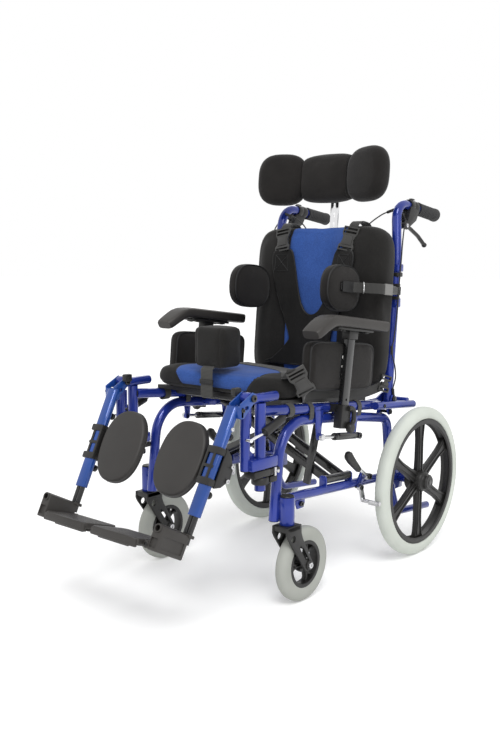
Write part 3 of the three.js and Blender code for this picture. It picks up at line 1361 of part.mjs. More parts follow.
function headWing() {
  const hingeForward = headPostOffset + headPostThickness / 2;
  const thickness = headWingThickness + 2 * headPadCrown;
  const pad = padded({ width: headWingWidth, length: headPadHeight, thickness: headWingThickness,
    crown: headPadCrown, edge: headPadEdge, squareness: headWingSquareness, drawIn: padDrawIn, around: 20 })
    .rotateX(quarterTurn)
    .translate(headWingInset + headWingWidth / 2, -headHingeRadius - thickness / 2, 0);
  const knuckle = rod(point(0, 0, -headHingeLength / 2), point(0, 0, headHingeLength / 2), headHingeRadius);
  const leaf = box(0, headWingWidth / 3, -headHingeRadius - headPadCrown - bite, -headHingeRadius / 2,
    -headHingeLength / 2, headHingeLength / 2);
  const turned = [pad, knuckle, leaf].map((g) =>
    g.rotateZ(-headWingTurn).translate(headHingeSide, -hingeForward, headHingeUp));
  const pinHole = rod(point(headHingeSide, -hingeForward, headHingeUp - headHingeLength),
    point(headHingeSide, -hingeForward, headHingeUp + headHingeLength), holeFor(headHingePinRadius));
  const centreSide = box(-headPadHalfWidth, headPadHalfWidth + headWingGap, -4 * headPadThickness,
    -headPadRear + headPadCrown, headPadBottom - headPadHeight, headPadBottom + 2 * headPadHeight);
  return cut(join(...turned), pinHole, centreSide);
}

const headCentre = padded({ width: 2 * headPadHalfWidth, length: headPadHeight, thickness: headPadThickness,
  crown: headPadCrown, edge: headPadEdge, squareness: headCentreSquareness, drawIn: padDrawIn, around: 20 })
  .rotateX(quarterTurn)
  .translate(0, -headPadRear - headPadCrown - headPadThickness / 2, headHingeUp);
part('headrest_post', headPost(), brightSteel, point(0, 0, 0), back);
part('headrest_centre', headCentre, blackMesh, point(0, 0, 0), back);
pair('headrest_wing', headWing(), blackMesh, point(0, 0, 0), back);

// Leg rests: a hanger that swings about the leg post, a twin leg tube hinged on it, and the
// foot block's twin tubes that slide in the leg tube

function hanger() {
  const arm = tube([
    point(legPostX, hangerArmRearY, hangerArmZ),
    point(frameSide, hangerTubeY, hangerArmZ),
    point(frameSide, hangerTubeY, hangerTubeBottom),
  ], hangerTubeRadius, [hangerBendRadius]);
  const half = hangerCollarWidth / 2;
  const collar = box(legPostX - half, legPostX + half, hangerTubeY, hangerCollarRearY, hangerCollarBottom,
    hangerCollarTop);
  const postBore = rod(point(legPostX, legPostY, hangerCollarBottom - overrun),
    point(legPostX, legPostY, hangerCollarTop + overrun), holeFor(tubeRadius, tubeSides));
  const pivotLug = crossRod(frameSide - hangerTubeRadius, frameSide + hangerTubeRadius, legPivot,
    legCheekRadius - bite);
  const pinHole = crossRod(frameSide - 2 * hangerTubeRadius, frameSide + 2 * hangerTubeRadius, legPivot,
    holeFor(boltRadius));
  return cut(join(arm, collar, pivotLug), postBore, pinHole);
}

// The leg's own directions: down along the tube, and back square to it
const legTopPoint = sidePoint(legTopX, legTop);
const legFootPoint = sidePoint(legFootX, legFoot);
const legLength = legTopPoint.distanceTo(legFootPoint);
const legUp = legTopPoint.clone().sub(legFootPoint).normalize();
const legAcross = point(1, 0, 0).addScaledVector(legUp, -legUp.x).normalize();
const legFrame = new THREE.Matrix4().makeBasis(legAcross, legUp.clone().cross(legAcross), legUp)
  .setPosition(legTopPoint);
const onLeg = (geometry) => geometry.applyMatrix4(legFrame);

function twinTube(radius, fromZ, toZ) {
  return [-1, 1].map((side) => onLeg(rod(point(side * legLobePitch / 2, 0, fromZ),
    point(side * legLobePitch / 2, 0, toZ), radius)));
}

function legTube() {
  const shell = twinTube(legLobeRadius, -legLength, 0);
  const bores = twinTube(legLobeRadius - legWall, -legLength - overrun,
    -legLength + footTubeInside + runningGap);
  const cheekInner = frameSide + hangerTubeRadius + legCheekGap;
  const cheeks = [
    frameSide - hangerTubeRadius - legCheekGap - legCheekThickness,
    cheekInner,
  ].map((x) => join(
    sidePlate([
      { y: legPivot.y, z: legPivot.z + legCheekRadius },
      { y: legTop.y - legLobeRadius / 2, z: legTop.z + legLobeRadius },
      { y: legTop.y - legLobeRadius / 2, z: legTop.z - legCapHeight },
      { y: legTop.y + legLobeRadius / 2, z: legTop.z - legCapHeight },
      { y: legPivot.y, z: legPivot.z - legCheekRadius },
    ], x, x + legCheekThickness),
    crossRod(x, x + legCheekThickness, legPivot, legCheekRadius),
  ));
  const pin = crossRod(frameSide - hangerTubeRadius - legCheekGap - legCheekThickness,
    cheekInner + legCheekThickness, legPivot, boltRadius);
  const cap = box(legTopX - legLobePitch / 2 - legLobeRadius, cheekInner + legCheekThickness,
    legTop.y - legLobeRadius / 2, legTop.y + legLobeRadius / 2,
    legTop.z - legCapHeight, legTop.z + legLobeRadius / 2);
  const sleeveWidth = legLobePitch + 2 * legLobeRadius + 2 * calfSleeveWall;
  const sleeveDepth = 2 * legLobeRadius + 2 * calfSleeveWall;
  const plateBack = calfPadThickness / 2 + calfPadCrown + clearance;
  const sleeve = onLeg(box(-sleeveWidth / 2, sleeveWidth / 2,
    -sleeveDepth / 2, plateBack + calfPlateThickness / 2,
    -calfPadDown - calfSleeveHeight / 2, -calfPadDown + calfSleeveHeight / 2));
  const plate = onLeg(box(calfPadX - legTopX - calfPlateWidth / 2, 0,
    plateBack, plateBack + calfPlateThickness,
    -calfPadDown - calfPlateHeight / 2, -calfPadDown + calfPlateHeight / 2));
  return cut(join(...shell, cap, ...cheeks, pin, sleeve, plate), ...bores);
}

const calfPad = onLeg(padded({ width: calfPadWidth, length: calfPadHeight, thickness: calfPadThickness,
  crown: calfPadCrown, edge: calfPadEdge, squareness: calfPadSquareness, drawIn: 0, around: 20 })
  .rotateX(quarterTurn).translate(calfPadX - legTopX, 0, -calfPadDown));

// The foot block lies square to the leg, and its footplate is pitched up at the front
const footFrame = new THREE.Matrix4().makeRotationX(-footPitch).setPosition(footSide, footMiddle.y, footMiddle.z);
const onFoot = (geometry) => geometry.applyMatrix4(footFrame);
const footHingeX = -footBlockWidth / 2 - runningGap - footHingeRadius;
const footFront = -footBlockLength / 2;

function footSlide() {
  const tubes = twinTube(legLobeRadius - legWall - 2 * clearance, -legLength - footTubeReach,
    -legLength + footTubeInside);
  const blockTop = -legLength - footBlockDrop;
  const blockFront = -footBlockRear - footBlockLength;
  const block = onLeg(box(-footBlockWidth / 2, footBlockWidth / 2, blockFront, -footBlockRear,
    blockTop - footBlockHeight, blockTop));
  const eyeZ = blockTop - footBlockHeight / 2 + footEyeRise;
  const eye = onLeg(rod(point(0, blockFront - footEyeForward, eyeZ), point(0, -footBlockRear - bite, eyeZ),
    footEyeRadius));
  const bosses = [-1, 1].map((end) => {
    const near = end * (footBlockLength / 2 - footHingeBossLength);
    const far = end * footBlockLength / 2;
    const knuckle = rod(point(footHingeX, near, footHingeDrop), point(footHingeX, far, footHingeDrop),
      footHingeRadius);
    const web = box(footHingeX, 0, Math.min(near, far), Math.max(near, far), footHingeDrop - footHingeRadius / 2,
      footHingeDrop + footHingeRadius / 2);
    return [onFoot(knuckle), onFoot(web)];
  });
  const pin = onFoot(rod(point(footHingeX, footFront, footHingeDrop),
    point(footHingeX, -footFront, footHingeDrop), boltRadius));
  return join(...tubes, block, eye, ...bosses.flat(), pin);
}

function footplate() {
  const inner = footBlockLength / 2 - footHingeBossLength - runningGap;
  const knuckle = rod(point(footHingeX, -inner, footHingeDrop), point(footHingeX, inner, footHingeDrop),
    footHingeRadius);
  const top = footHingeDrop + footHingeRadius;
  const plateOuter = footHingeX - footHingeRadius - runningGap;
  const front = -footplateLength / 2 - footplateForward;
  const plate = box(plateOuter - footplateWidth, plateOuter, front, front + footplateLength,
    top - footplateThickness, top);
  const rib = box(plateOuter - footplateWidth, plateOuter, front, front + footplateRib,
    top - 2 * footplateThickness, top);
  const web = box(plateOuter - footplateRib, footHingeX, -inner, inner, top - footplateThickness, top);
  const hole = rod(point(footHingeX, -footBlockLength, footHingeDrop), point(footHingeX, footBlockLength,
    footHingeDrop), holeFor(boltRadius));
  return cut(join(...[knuckle, plate, rib, web].map(onFoot)), onFoot(hole));
}

pair('hanger', hanger(), frameBlue);
pair('leg_tube', legTube(), legBlue);
pair('calf_pad', calfPad, calfVinyl);
pair('foot_slide', footSlide(), blackSteel);
pair('footplate', footplate(), greyPlastic);

// The origin is under the middle of the chair, on the floor.
chair.updateMatrixWorld(true);
const extent = new THREE.Box3().setFromObject(chair);
chair.position.y = -(extent.min.y + extent.max.y) / 2;
chair.updateMatrixWorld(true);
export default chair;
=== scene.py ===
# A tilt in space wheelchair with cushions, chest harness, side pads, headrest and leg rests.
# Lengths in the dictionaries are millimetres. Each piece is drawn about its own reference place
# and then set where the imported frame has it.

import math

import bpy
from mathutils import Matrix, Vector


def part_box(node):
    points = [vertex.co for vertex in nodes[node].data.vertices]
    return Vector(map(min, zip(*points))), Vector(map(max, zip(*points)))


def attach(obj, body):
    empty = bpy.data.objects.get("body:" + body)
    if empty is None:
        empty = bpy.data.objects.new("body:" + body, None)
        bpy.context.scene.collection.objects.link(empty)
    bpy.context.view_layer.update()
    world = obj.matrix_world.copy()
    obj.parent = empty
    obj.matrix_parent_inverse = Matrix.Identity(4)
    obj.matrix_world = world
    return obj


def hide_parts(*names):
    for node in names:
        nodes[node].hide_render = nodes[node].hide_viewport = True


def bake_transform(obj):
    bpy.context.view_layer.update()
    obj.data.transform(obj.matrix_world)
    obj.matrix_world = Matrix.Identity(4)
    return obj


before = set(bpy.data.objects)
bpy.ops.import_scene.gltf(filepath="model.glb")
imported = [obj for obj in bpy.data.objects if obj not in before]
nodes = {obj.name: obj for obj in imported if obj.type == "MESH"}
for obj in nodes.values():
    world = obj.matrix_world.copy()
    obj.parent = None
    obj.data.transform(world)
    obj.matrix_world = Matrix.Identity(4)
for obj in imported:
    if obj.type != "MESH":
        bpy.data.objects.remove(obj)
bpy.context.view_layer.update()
scene = bpy.context.scene
print("frame loaded:", len(nodes), "nodes")


def mm(*lengths):
    return Vector(lengths) / 1000


def at(*place):
    return Matrix.Translation(mm(*place))


def quarter(axis, way=1):
    return Matrix.Rotation(way * math.pi / 2, 4, axis)


def leaned(y, z, angle, x=0):
    return at(x, y, z) @ Matrix.Rotation(-angle, 4, "X")


def standingOn(along):
    across = (Vector((1, 0, 0)) - along * along.x).normalized()
    return Matrix((across, along.cross(across), along)).transposed().to_4x4()


def wayTo(start, end):
    return (end - start).normalized()


def softened(value, power):
    return math.copysign(abs(value) ** power, value)


# The drawing's zero is a fixed length ahead of the rear axle, on the floor
axleFromZero = 212
wheelLow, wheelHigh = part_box("rear_wheel_left")
drawing = Matrix.Translation((0, (wheelLow.y + wheelHigh.y) / 2 - axleFromZero / 1000, 0))
seatLean = 0.0891
caneFoot = (143.64, 408)
seatPlace = drawing @ leaned(-138, 435.3, seatLean)
backPlace = drawing @ leaned(*caneFoot, 0.0793)
footPlace = drawing @ leaned(-650, 206.3, 0.3, 180)
armPlace = drawing @ leaned(-122, 396, math.atan2(32, 226), 236)
mirror = Matrix.Scale(-1, 4, (1, 0, 0))
still = Matrix.Identity(4)

# The leg's own directions: down along the twin tube, and back square to it
legTop = mm(191, -463, 474)
legFoot = mm(182, -575, 260)
legPlace = drawing @ Matrix.Translation(legTop) @ standingOn(wayTo(legFoot, legTop))
legLength = (legTop - legFoot).length * 1000

# Camera

cameraSettings = {
    "place": (1394.5, -1828.3, 777.2),
    "azimuth": 40.29,  # degrees to the left of the chair's front
    "down": 7.30,
    "roll": 0.24,
    "lens": 41.74,
    "sensor": 36,
}


def addCamera():
    azimuth = math.radians(cameraSettings["azimuth"])
    down = math.radians(cameraSettings["down"])
    level = math.cos(down)
    look = Vector((-math.sin(azimuth) * level, math.cos(azimuth) * level, -math.sin(down)))
    bpy.ops.object.camera_add(location=drawing @ mm(*cameraSettings["place"]))
    camera = bpy.context.object
    turn = look.to_track_quat("-Z", "Y").to_matrix().to_4x4()
    roll = Matrix.Rotation(math.radians(cameraSettings["roll"]), 4, "Z")
    camera.rotation_euler = (turn @ roll).to_euler()
    camera.data.lens = cameraSettings["lens"]
    camera.data.sensor_width = cameraSettings["sensor"]
    camera.data.clip_end = 60
    scene.camera = camera


addCamera()

# Materials


def newMaterial(name):
    material = bpy.data.materials.new(name)
    material.use_nodes = True
    tree = material.node_tree
    shader = tree.nodes["Principled BSDF"]
    return material, tree, shader


def link(tree, fromNode, output, toNode, socket):
    tree.links.new(fromNode.outputs[output], toNode.inputs[socket])


def objectPlace(tree):
    return tree.nodes.new("ShaderNodeTexCoord")


def ramp(tree, low, high, start=0.3, end=0.7):
    node = tree.nodes.new("ShaderNodeValToRGB")
    node.color_ramp.elements[0].position = start
    node.color_ramp.elements[1].position = end
    node.color_ramp.elements[0].color = (*low, 1)
    node.color_ramp.elements[1].color = (*high, 1)
    return node


def noise(tree, coordinates, scale, detail=3):
    node = tree.nodes.new("ShaderNodeTexNoise")
    node.inputs["Scale"].default_value = scale
    node.inputs["Detail"].default_value = detail
    link(tree, coordinates, "Object", node, "Vector")
    return node


def tintFrom(tree, source, low, high, toNode, socket, start=0.3, end=0.7):
    tint = ramp(tree, low, high, start, end)
    link(tree, source, "Fac", tint, "Fac")
    link(tree, tint, "Color", toNode, socket)


def bumpInto(tree, shader, source, output, strength, distance, under=None):
    bump = tree.nodes.new("ShaderNodeBump")
    bump.inputs["Strength"].default_value = strength
    bump.inputs["Distance"].default_value = distance
    link(tree, source, output, bump, "Height")
    if under:
        link(tree, under, "Normal", bump, "Normal")
    link(tree, bump, "Normal", shader, "Normal")
    return bump


def roughnessFrom(tree, shader, source, low, high):
    span = tree.nodes.new("ShaderNodeMapRange")
    span.inputs["To Min"].default_value = low
    span.inputs["To Max"].default_value = high
    link(tree, source, "Fac", span, "Value")
    link(tree, span, "Result", shader, "Roughness")


def plainFinish(name, low, high, roughness, metallic=0, coat=0, grain=(900, 0.05, 0.0002)):
    material, tree, shader = newMaterial(name)
    place = objectPlace(tree)
    clouds = noise(tree, place, 9)
    tintFrom(tree, clouds, low, high, shader, "Base Color")
    roughnessFrom(tree, shader, clouds, *roughness)
    scale, strength, distance = grain
    bumpInto(tree, shader, noise(tree, place, scale, 2), "Fac", strength, distance)
    shader.inputs["Metallic"].default_value = metallic
    shader.inputs["Coat Weight"].default_value = coat
    shader.inputs["Coat Roughness"].default_value = 0.08
    shader.inputs["Specular IOR Level"].default_value = 0.1 if coat > 0.5 else 0.4
    return material


def meshCloth(name, low, high, cell, sheen):
    material, tree, shader = newMaterial(name)
    place = objectPlace(tree)
    cells = tree.nodes.new("ShaderNodeTexVoronoi")
    cells.inputs["Scale"].default_value = 1000 / cell
    cells.inputs["Randomness"].default_value = 0.95
    link(tree, place, "Object", cells, "Vector")
    # Painted shade: the cloth colour is multiplied darker by the cell distance, standing in for shade down in
    # the holes of the mesh
    holes = ramp(tree, (1, 1, 1), (0.45, 0.45, 0.45), 0.15, 0.6)
    link(tree, cells, "Distance", holes, "Fac")
    shade = tree.nodes.new("ShaderNodeMix")
    shade.data_type = "RGBA"
    shade.blend_type = "MULTIPLY"
    shade.inputs["Factor"].default_value = 0.6
    tintFrom(tree, noise(tree, place, 14), low, high, shade, "A")
    link(tree, holes, "Color", shade, "B")
    link(tree, shade, "Result", shader, "Base Color")
    shader.inputs["Roughness"].default_value = 0.88
    shader.inputs["Specular IOR Level"].default_value = 0.22
    shader.inputs["Sheen Weight"].default_value = sheen
    shader.inputs["Sheen Roughness"].default_value = 0.5
    folds = bumpInto(tree, shader, noise(tree, place, 30), "Fac", 0.25, 0.003)
    bumpInto(tree, shader, cells, "Distance", 0.5, 0.0006, folds)
    return material


def webbingCloth(name, low, high):
    rib = 1.6
    material, tree, shader = newMaterial(name)
    place = objectPlace(tree)
    weave = tree.nodes.new("ShaderNodeTexWave")
    weave.wave_type = "BANDS"
    weave.bands_direction = "Y"
    weave.inputs["Scale"].default_value = 1000 / rib / 6.3
    weave.inputs["Distortion"].default_value = 0.4
    link(tree, place, "UV", weave, "Vector")
    tintFrom(tree, weave, low, high, shader, "Base Color", 0.2, 0.9)
    shader.inputs["Roughness"].default_value = 0.8
    shader.inputs["Sheen Weight"].default_value = 0.2
    bumpInto(tree, shader, weave, "Fac", 0.4, 0.0004)
    return material


def vinylCloth(name, low, high):
    pebble = 1.7
    material, tree, shader = newMaterial(name)
    place = objectPlace(tree)
    cells = tree.nodes.new("ShaderNodeTexVoronoi")
    cells.feature = "DISTANCE_TO_EDGE"
    cells.inputs["Scale"].default_value = 1000 / pebble
    link(tree, place, "Object", cells, "Vector")
    clouds = noise(tree, place, 12)
    tintFrom(tree, clouds, low, high, shader, "Base Color")
    roughnessFrom(tree, shader, clouds, 0.5, 0.62)
    bumpInto(tree, shader, cells, "Distance", 0.25, 0.0004)
    return material


# Scale, strength and depth in metres of the grain in paint and rubber
paint = (350, 0.03, 0.0003)
rubber = (500, 0.25, 0.0004)

finishes = {
    "frameBlue": (plainFinish, (0.011, 0.026, 0.2), (0.017, 0.038, 0.29), (0.16, 0.24), 0.2, 0.8, paint),
    "legBlue": (plainFinish, (0.01, 0.05, 0.23), (0.016, 0.07, 0.32), (0.16, 0.24), 0.2, 0.8, paint),
    "blackPlastic": (plainFinish, (0.011, 0.0105, 0.01), (0.017, 0.0165, 0.016), (0.36, 0.48)),
    "greyPlastic": (plainFinish, (0.026, 0.0235, 0.0215), (0.037, 0.0338, 0.031), (0.42, 0.56), 0, 0,
                    (1400, 0.2, 0.0003)),
    "blackSteel": (plainFinish, (0.006, 0.006, 0.0062), (0.01, 0.01, 0.0105), (0.2, 0.3), 0, 0.4),
    "brightSteel": (plainFinish, (0.55, 0.55, 0.56), (0.72, 0.72, 0.73), (0.2, 0.34), 1),
    "chrome": (plainFinish, (0.74, 0.74, 0.75), (0.84, 0.84, 0.85), (0.08, 0.16), 1),
    "rearTyreGrey": (plainFinish, (0.52, 0.55, 0.5), (0.6, 0.63, 0.58), (0.7, 0.82), 0, 0, rubber),
    "castorGrey": (plainFinish, (0.31, 0.32, 0.29), (0.38, 0.39, 0.36), (0.68, 0.8), 0, 0, rubber),
    "gripRubber": (plainFinish, (0.02, 0.02, 0.021), (0.03, 0.03, 0.031), (0.62, 0.75), 0, 0,
                   (1300, 0.3, 0.0003)),
    "blackMesh": (meshCloth, (0.011, 0.0102, 0.0096), (0.0175, 0.0165, 0.0155), 2.2, 0.1),
    "blueMesh": (meshCloth, (0.03, 0.088, 0.33), (0.042, 0.116, 0.42), 2.2, 0.12),
    "sideCloth": (meshCloth, (0.0095, 0.008, 0.0074), (0.017, 0.0148, 0.0136), 1.1, 0.12),
    "piping": (plainFinish, (0.004, 0.004, 0.0045), (0.007, 0.007, 0.0075), (0.45, 0.6)),
    "webbing": (webbingCloth, (0.018, 0.018, 0.017), (0.032, 0.031, 0.029)),
    "strapGrey": (webbingCloth, (0.026, 0.0255, 0.0225), (0.048, 0.047, 0.042)),
    "keeperGrey": (webbingCloth, (0.14, 0.138, 0.132), (0.21, 0.207, 0.2)),
    "calfVinyl": (vinylCloth, (0.0185, 0.0165, 0.015), (0.027, 0.0245, 0.0225)),
    "buckleGrey": (plainFinish, (0.028, 0.0275, 0.0265), (0.045, 0.044, 0.042), (0.24, 0.36)),
    "whitePlastic": (plainFinish, (0.62, 0.61, 0.58), (0.74, 0.73, 0.7), (0.35, 0.5)),
    "harnessCloth": (meshCloth, (0.006, 0.0056, 0.0052), (0.011, 0.0102, 0.0096), 1.3, 0.14),
}
looks = {name: make(name, *values) for name, (make, *values) in finishes.items()}
print("materials made:", len(looks))

# Modelling steps


def clearAll():
    if bpy.context.object and bpy.context.object.mode != "OBJECT":
        bpy.ops.object.mode_set(mode="OBJECT")
    bpy.ops.object.select_all(action="DESELECT")


def pick(piece):
    clearAll()
    piece.select_set(True)
    bpy.context.view_layer.objects.active = piece


def editAll():
    bpy.ops.object.mode_set(mode="EDIT")
    bpy.ops.mesh.select_all(action="SELECT")


def closeEdit():
    bpy.ops.mesh.select_all(action="SELECT")
    bpy.ops.mesh.remove_doubles(threshold=0.00001)
    bpy.ops.mesh.normals_make_consistent(inside=False)
    bpy.ops.object.mode_set(mode="OBJECT")
    bpy.ops.object.transform_apply(location=True, rotation=True, scale=True)
    return bpy.context.object


def pushAlong(way):
    bpy.ops.mesh.extrude_region_move(TRANSFORM_OT_translate={"value": way})


def bevelSharp(width, angle):
    bpy.ops.mesh.select_mode(type="EDGE")
    bpy.ops.mesh.select_all(action="DESELECT")
    bpy.ops.mesh.edges_select_sharp(sharpness=math.radians(angle))
    bpy.ops.mesh.bevel(offset=width / 1000, segments=2, affect="EDGES", clamp_overlap=True)


def bentTube(points, radius, bends=(), sides=24):
    corners = [mm(*p) for p in points]
    turn = wayTo(corners[0], corners[1]).to_track_quat("Z", "Y").to_euler()
    clearAll()
    bpy.ops.mesh.primitive_circle_add(vertices=sides, radius=radius / 1000, fill_type="NGON",
                                      location=corners[0], rotation=turn)
    editAll()
    last = corners[0]
    for i in range(1, len(corners) - 1):
        into = wayTo(corners[i - 1], corners[i])
        out = wayTo(corners[i], corners[i + 1])
        turn = into.angle(out)
        bend = bends[i - 1] / 1000
        run = bend * math.tan(turn / 2)
        start = corners[i] - into * run
        pushAlong(start - last)
        axis = into.cross(out).normalized()
        centre = start + axis.cross(into) * bend
        bpy.ops.mesh.spin(steps=max(3, math.ceil(turn / 0.15)), angle=-turn, center=centre, axis=axis)
        last = corners[i] + out * run
    pushAlong(corners[-1] - last)
    return closeEdit()


def plate(outline, low, high, bevel=0.8, facing="x"):
    clearAll()
    bpy.ops.mesh.primitive_circle_add(vertices=len(outline), radius=1, fill_type="NGON")
    piece = bpy.context.object
    for vertex, (a, b) in zip(piece.data.vertices, outline):
        vertex.co = {"x": mm(low, a, b), "y": mm(a, low, b), "z": mm(a, b, low)}[facing]
    editAll()
    pushAlong({"x": mm(high - low, 0, 0), "y": mm(0, high - low, 0), "z": mm(0, 0, high - low)}[facing])
    bpy.ops.mesh.select_all(action="SELECT")
    bpy.ops.mesh.normals_make_consistent(inside=False)
    if bevel:
        bevelSharp(bevel, 25)
    return closeEdit()


def block(low, high, bevel=1):
    clearAll()
    middle = [(a + b) / 2 for a, b in zip(low, high)]
    size = [abs(b - a) for a, b in zip(low, high)]
    bpy.ops.mesh.primitive_cube_add(size=1, location=mm(*middle), scale=mm(*size))
    bpy.ops.object.transform_apply(location=True, rotation=True, scale=True)
    editAll()
    bpy.ops.mesh.bevel(offset=bevel / 1000, segments=2, affect="EDGES", clamp_overlap=True)
    return closeEdit()


def drum(start, end, radius, bevel=0.8, sides=32):
    a, b = mm(*start), mm(*end)
    clearAll()
    bpy.ops.mesh.primitive_cone_add(vertices=sides, radius1=radius / 1000, radius2=radius / 1000,
                                    depth=(b - a).length, location=(a + b) / 2,
                                    rotation=(b - a).to_track_quat("Z", "Y").to_euler())
    bpy.ops.object.transform_apply(location=True, rotation=True, scale=True)
    editAll()
    if bevel:
        bevelSharp(bevel, 55)
    return closeEdit()


def turned(profile, centre, steps):
    clearAll()
    bpy.ops.mesh.primitive_circle_add(vertices=len(profile), radius=1, fill_type="NOTHING")
    piece = bpy.context.object
    for vertex, (radius, across) in zip(piece.data.vertices, profile):
        vertex.co = mm(*centre) + mm(across, 0, radius)
    editAll()
    bpy.ops.mesh.spin(steps=steps, angle=2 * math.pi, center=mm(*centre), axis=(1, 0, 0))
    return closeEdit()


def joined(*pieces):
    pick(pieces[0])
    for piece in pieces[1:]:
        piece.select_set(True)
    if len(pieces) > 1:
        bpy.ops.object.join()
    return bpy.context.object


def moved(piece, place):
    piece.data.transform(piece.matrix_world)
    piece.matrix_world = still
    piece.data.transform(place)
    return piece


def copied(piece):
    twin = piece.copy()
    twin.data = piece.data.copy()
    scene.collection.objects.link(twin)
    return twin


def applied(piece, modifier):
    pick(piece)
    bpy.ops.object.modifier_apply(modifier=modifier.name)
    return piece


def cutAway(piece, *cutters):
    for cutter in cutters:
        modifier = piece.modifiers.new("cut", "BOOLEAN")
        modifier.operation = "DIFFERENCE"
        modifier.object = cutter
        modifier.solver = "EXACT"
        applied(piece, modifier)
        bpy.data.objects.remove(cutter)
    return piece


def settle(piece, name, look, body, place=None, stands=(), smooth=38):
    moved(piece, drawing if place is None else place)
    pick(piece)
    bpy.ops.object.shade_smooth_by_angle(angle=math.radians(smooth))
    piece.name = name
    piece.data.name = name
    if look:
        piece.data.materials.clear()
        piece.data.materials.append(looks[look])
    if body:
        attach(piece, body)
    if stands:
        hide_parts(*stands)
    return piece


def settlePair(piece, name, look, body, place=None, stands=(), smooth=38):
    moved(piece, drawing if place is None else place)
    twin = copied(piece)
    twin.data.transform(mirror)
    twin.data.flip_normals()
    return [settle(half, name + hand, look, body.format(hand.lower()), still,
                   [stand.format(hand.lower()) for stand in stands], smooth)
            for half, hand in ((piece, "Left"), (twin, "Right"))]


def boltHead(place, way, radius=5, height=4):
    start = Vector(place)
    end = start + Vector(way).normalized() * height
    head = drum(start, end, radius, 0.8, 20)
    socket = drum(start + (end - start) * 0.45, end + (end - start) * 0.3, radius * 0.5, 0, 6)
    return cutAway(head, socket)


# Rear wheels

rearTyre = {"radius": 200, "width": 36, "depth": 31, "bulge": 21, "steps": 168, "tread": 1.1,
            "shoulder": (188, 196)}
rearAxle = (260, axleFromZero, rearTyre["radius"])


def tyreProfile(tyre, half, steps, squareness, roundness):
    profile = []
    for i in range(steps + 1):
        angle = math.pi * i / steps
        rise = tyre["bulge"] * math.sin(angle) ** roundness
        profile.append((tyre["radius"] - tyre["bulge"] + rise, half * softened(math.cos(angle), squareness)))
    return profile


def addRearTyres():
    half = rearTyre["width"] / 2
    bottom = rearTyre["radius"] - rearTyre["depth"]
    low, high = rearTyre["shoulder"]
    profile = [(bottom, half - 3), (bottom + 2, half - 0.6), *tyreProfile(rearTyre, half, 12, 0.8, 0.85),
               (bottom + 2, 0.6 - half), (bottom, 3 - half)]
    tyre = turned(profile, rearAxle, rearTyre["steps"])
    centre = mm(*rearAxle)
    arc = 2 * math.pi / rearTyre["steps"]
    for vertex in tyre.data.vertices:
        out = vertex.co - centre
        reach = math.hypot(out.y, out.z) * 1000
        if low < reach < high and round(math.atan2(out.z, out.y) / arc) % 2:
            vertex.co -= Vector((0, out.y, out.z)).normalized() * rearTyre["tread"] / 1000
    settlePair(tyre, "rearTyre", "rearTyreGrey", "rear_wheel_{}", stands=["rear_tyre_{}"], smooth=50)


rearRim = {"outer": 168.7, "inner": 153.7, "half": 16, "hubIn": -28, "spokes": 6}


def addRearWheels():
    half = rearRim["half"]
    outer, inner = rearRim["outer"], rearRim["inner"]
    section = [(outer, half - 2), (outer - 2, half), (inner + 3, half), (inner, half - 3),
               (inner + 1, half - 5), (inner + 5, half - 9)]
    rim = turned([(outer - 2, -half), (outer, 2 - half), *section, *[(r, -a) for r, a in section[:1:-1]]],
                 rearAxle, 96)
    pieces = [rim]
    for k in range(rearRim["spokes"]):
        spoke = plate([(-17, 14), (17, 14), (13, 60), (12, 110), (15, 140), (22, 159), (-22, 159), (-15, 140),
                       (-12, 110), (-13, 60)], -6.5, 6.5, 1.6)
        rib = [(3, 20), (9.5, 20), (8.5, 110), (14, 152), (10, 152), (4.5, 110)]
        ribs = [plate([(s * a, b) for a, b in rib], 5, 9.2, 1.2) for s in (-1, 1)]
        turn = Matrix.Rotation(2 * math.pi * k / rearRim["spokes"], 4, "X")
        pieces.append(moved(joined(spoke, *ribs), at(*rearAxle) @ turn))
    hub = turned([(0, rearRim["hubIn"]), (25, rearRim["hubIn"]), (28, -25), (28, 16), (26, 20), (21.5, 22),
                  (20, 24), (20, 32), (17, 35.2), (8, 36), (0, 36)], rearAxle, 48)
    pieces.append(hub)
    settlePair(joined(*pieces), "rearWheel", "blackPlastic", "rear_wheel_{}", stands=["rear_wheel_{}"])
    ring = turned([(15, 33), (16.4, 33), (16.4, 36), (15, 36)], rearAxle, 48)
    dimple = drum((295, *rearAxle[1:]), (297, *rearAxle[1:]), 7, 0.6, 24)
    settlePair(joined(ring, dimple), "hubCapRing", "blackSteel", "rear_wheel_{}")


addRearTyres()
addRearWheels()
print("rear wheels made")

# Castors

castor = {"axle": (227, -263, 88), "radius": 88, "half": 15, "bulge": 20, "seat": 55, "stem": (227, -320),
          "crown": (180, 193), "legs": (17.3, 22.3), "head": 193.3}


def addCastorWheels():
    half, seatRadius = castor["half"], castor["seat"]
    profile = [(seatRadius, half - 3), *tyreProfile(castor, half, 10, 0.7, 0.8), (seatRadius, 3 - half)]
    tyre = turned(profile, castor["axle"], 96)
    settlePair(tyre, "castorTyre", "castorGrey", "castor_wheel_{}", stands=["castor_wheel_{}"], smooth=50)
    rim = turned([(56, -12), (56, 12), (53, 13), (47, 12), (46, 8), (46, -8), (47, -12), (53, -13)],
                 castor["axle"], 64)
    hub = turned([(0, -17), (11, -17), (13, -15), (13, 15), (11, 17), (0, 17)], castor["axle"], 32)
    pieces = [rim, hub]
    for k in range(3):
        bow = [(12, 3), (22, 9), (30, 19), (35, 32), (30, 37), (26, 25), (19, 16), (10, 12)]
        arms = [plate([(s * a, b) for a, b in bow], -6, 6, 1) for s in (-1, 1)]
        stalk = plate([(-5, 8), (5, 8), (7, 20), (-7, 20)], -6, 6, 0.8)
        turn = Matrix.Rotation(2 * math.pi * k / 3 + 0.5, 4, "X")
        pieces.append(moved(joined(*arms, stalk), at(*castor["axle"]) @ turn))
    settlePair(joined(*pieces), "castorCentre", "blackPlastic", "castor_wheel_{}")


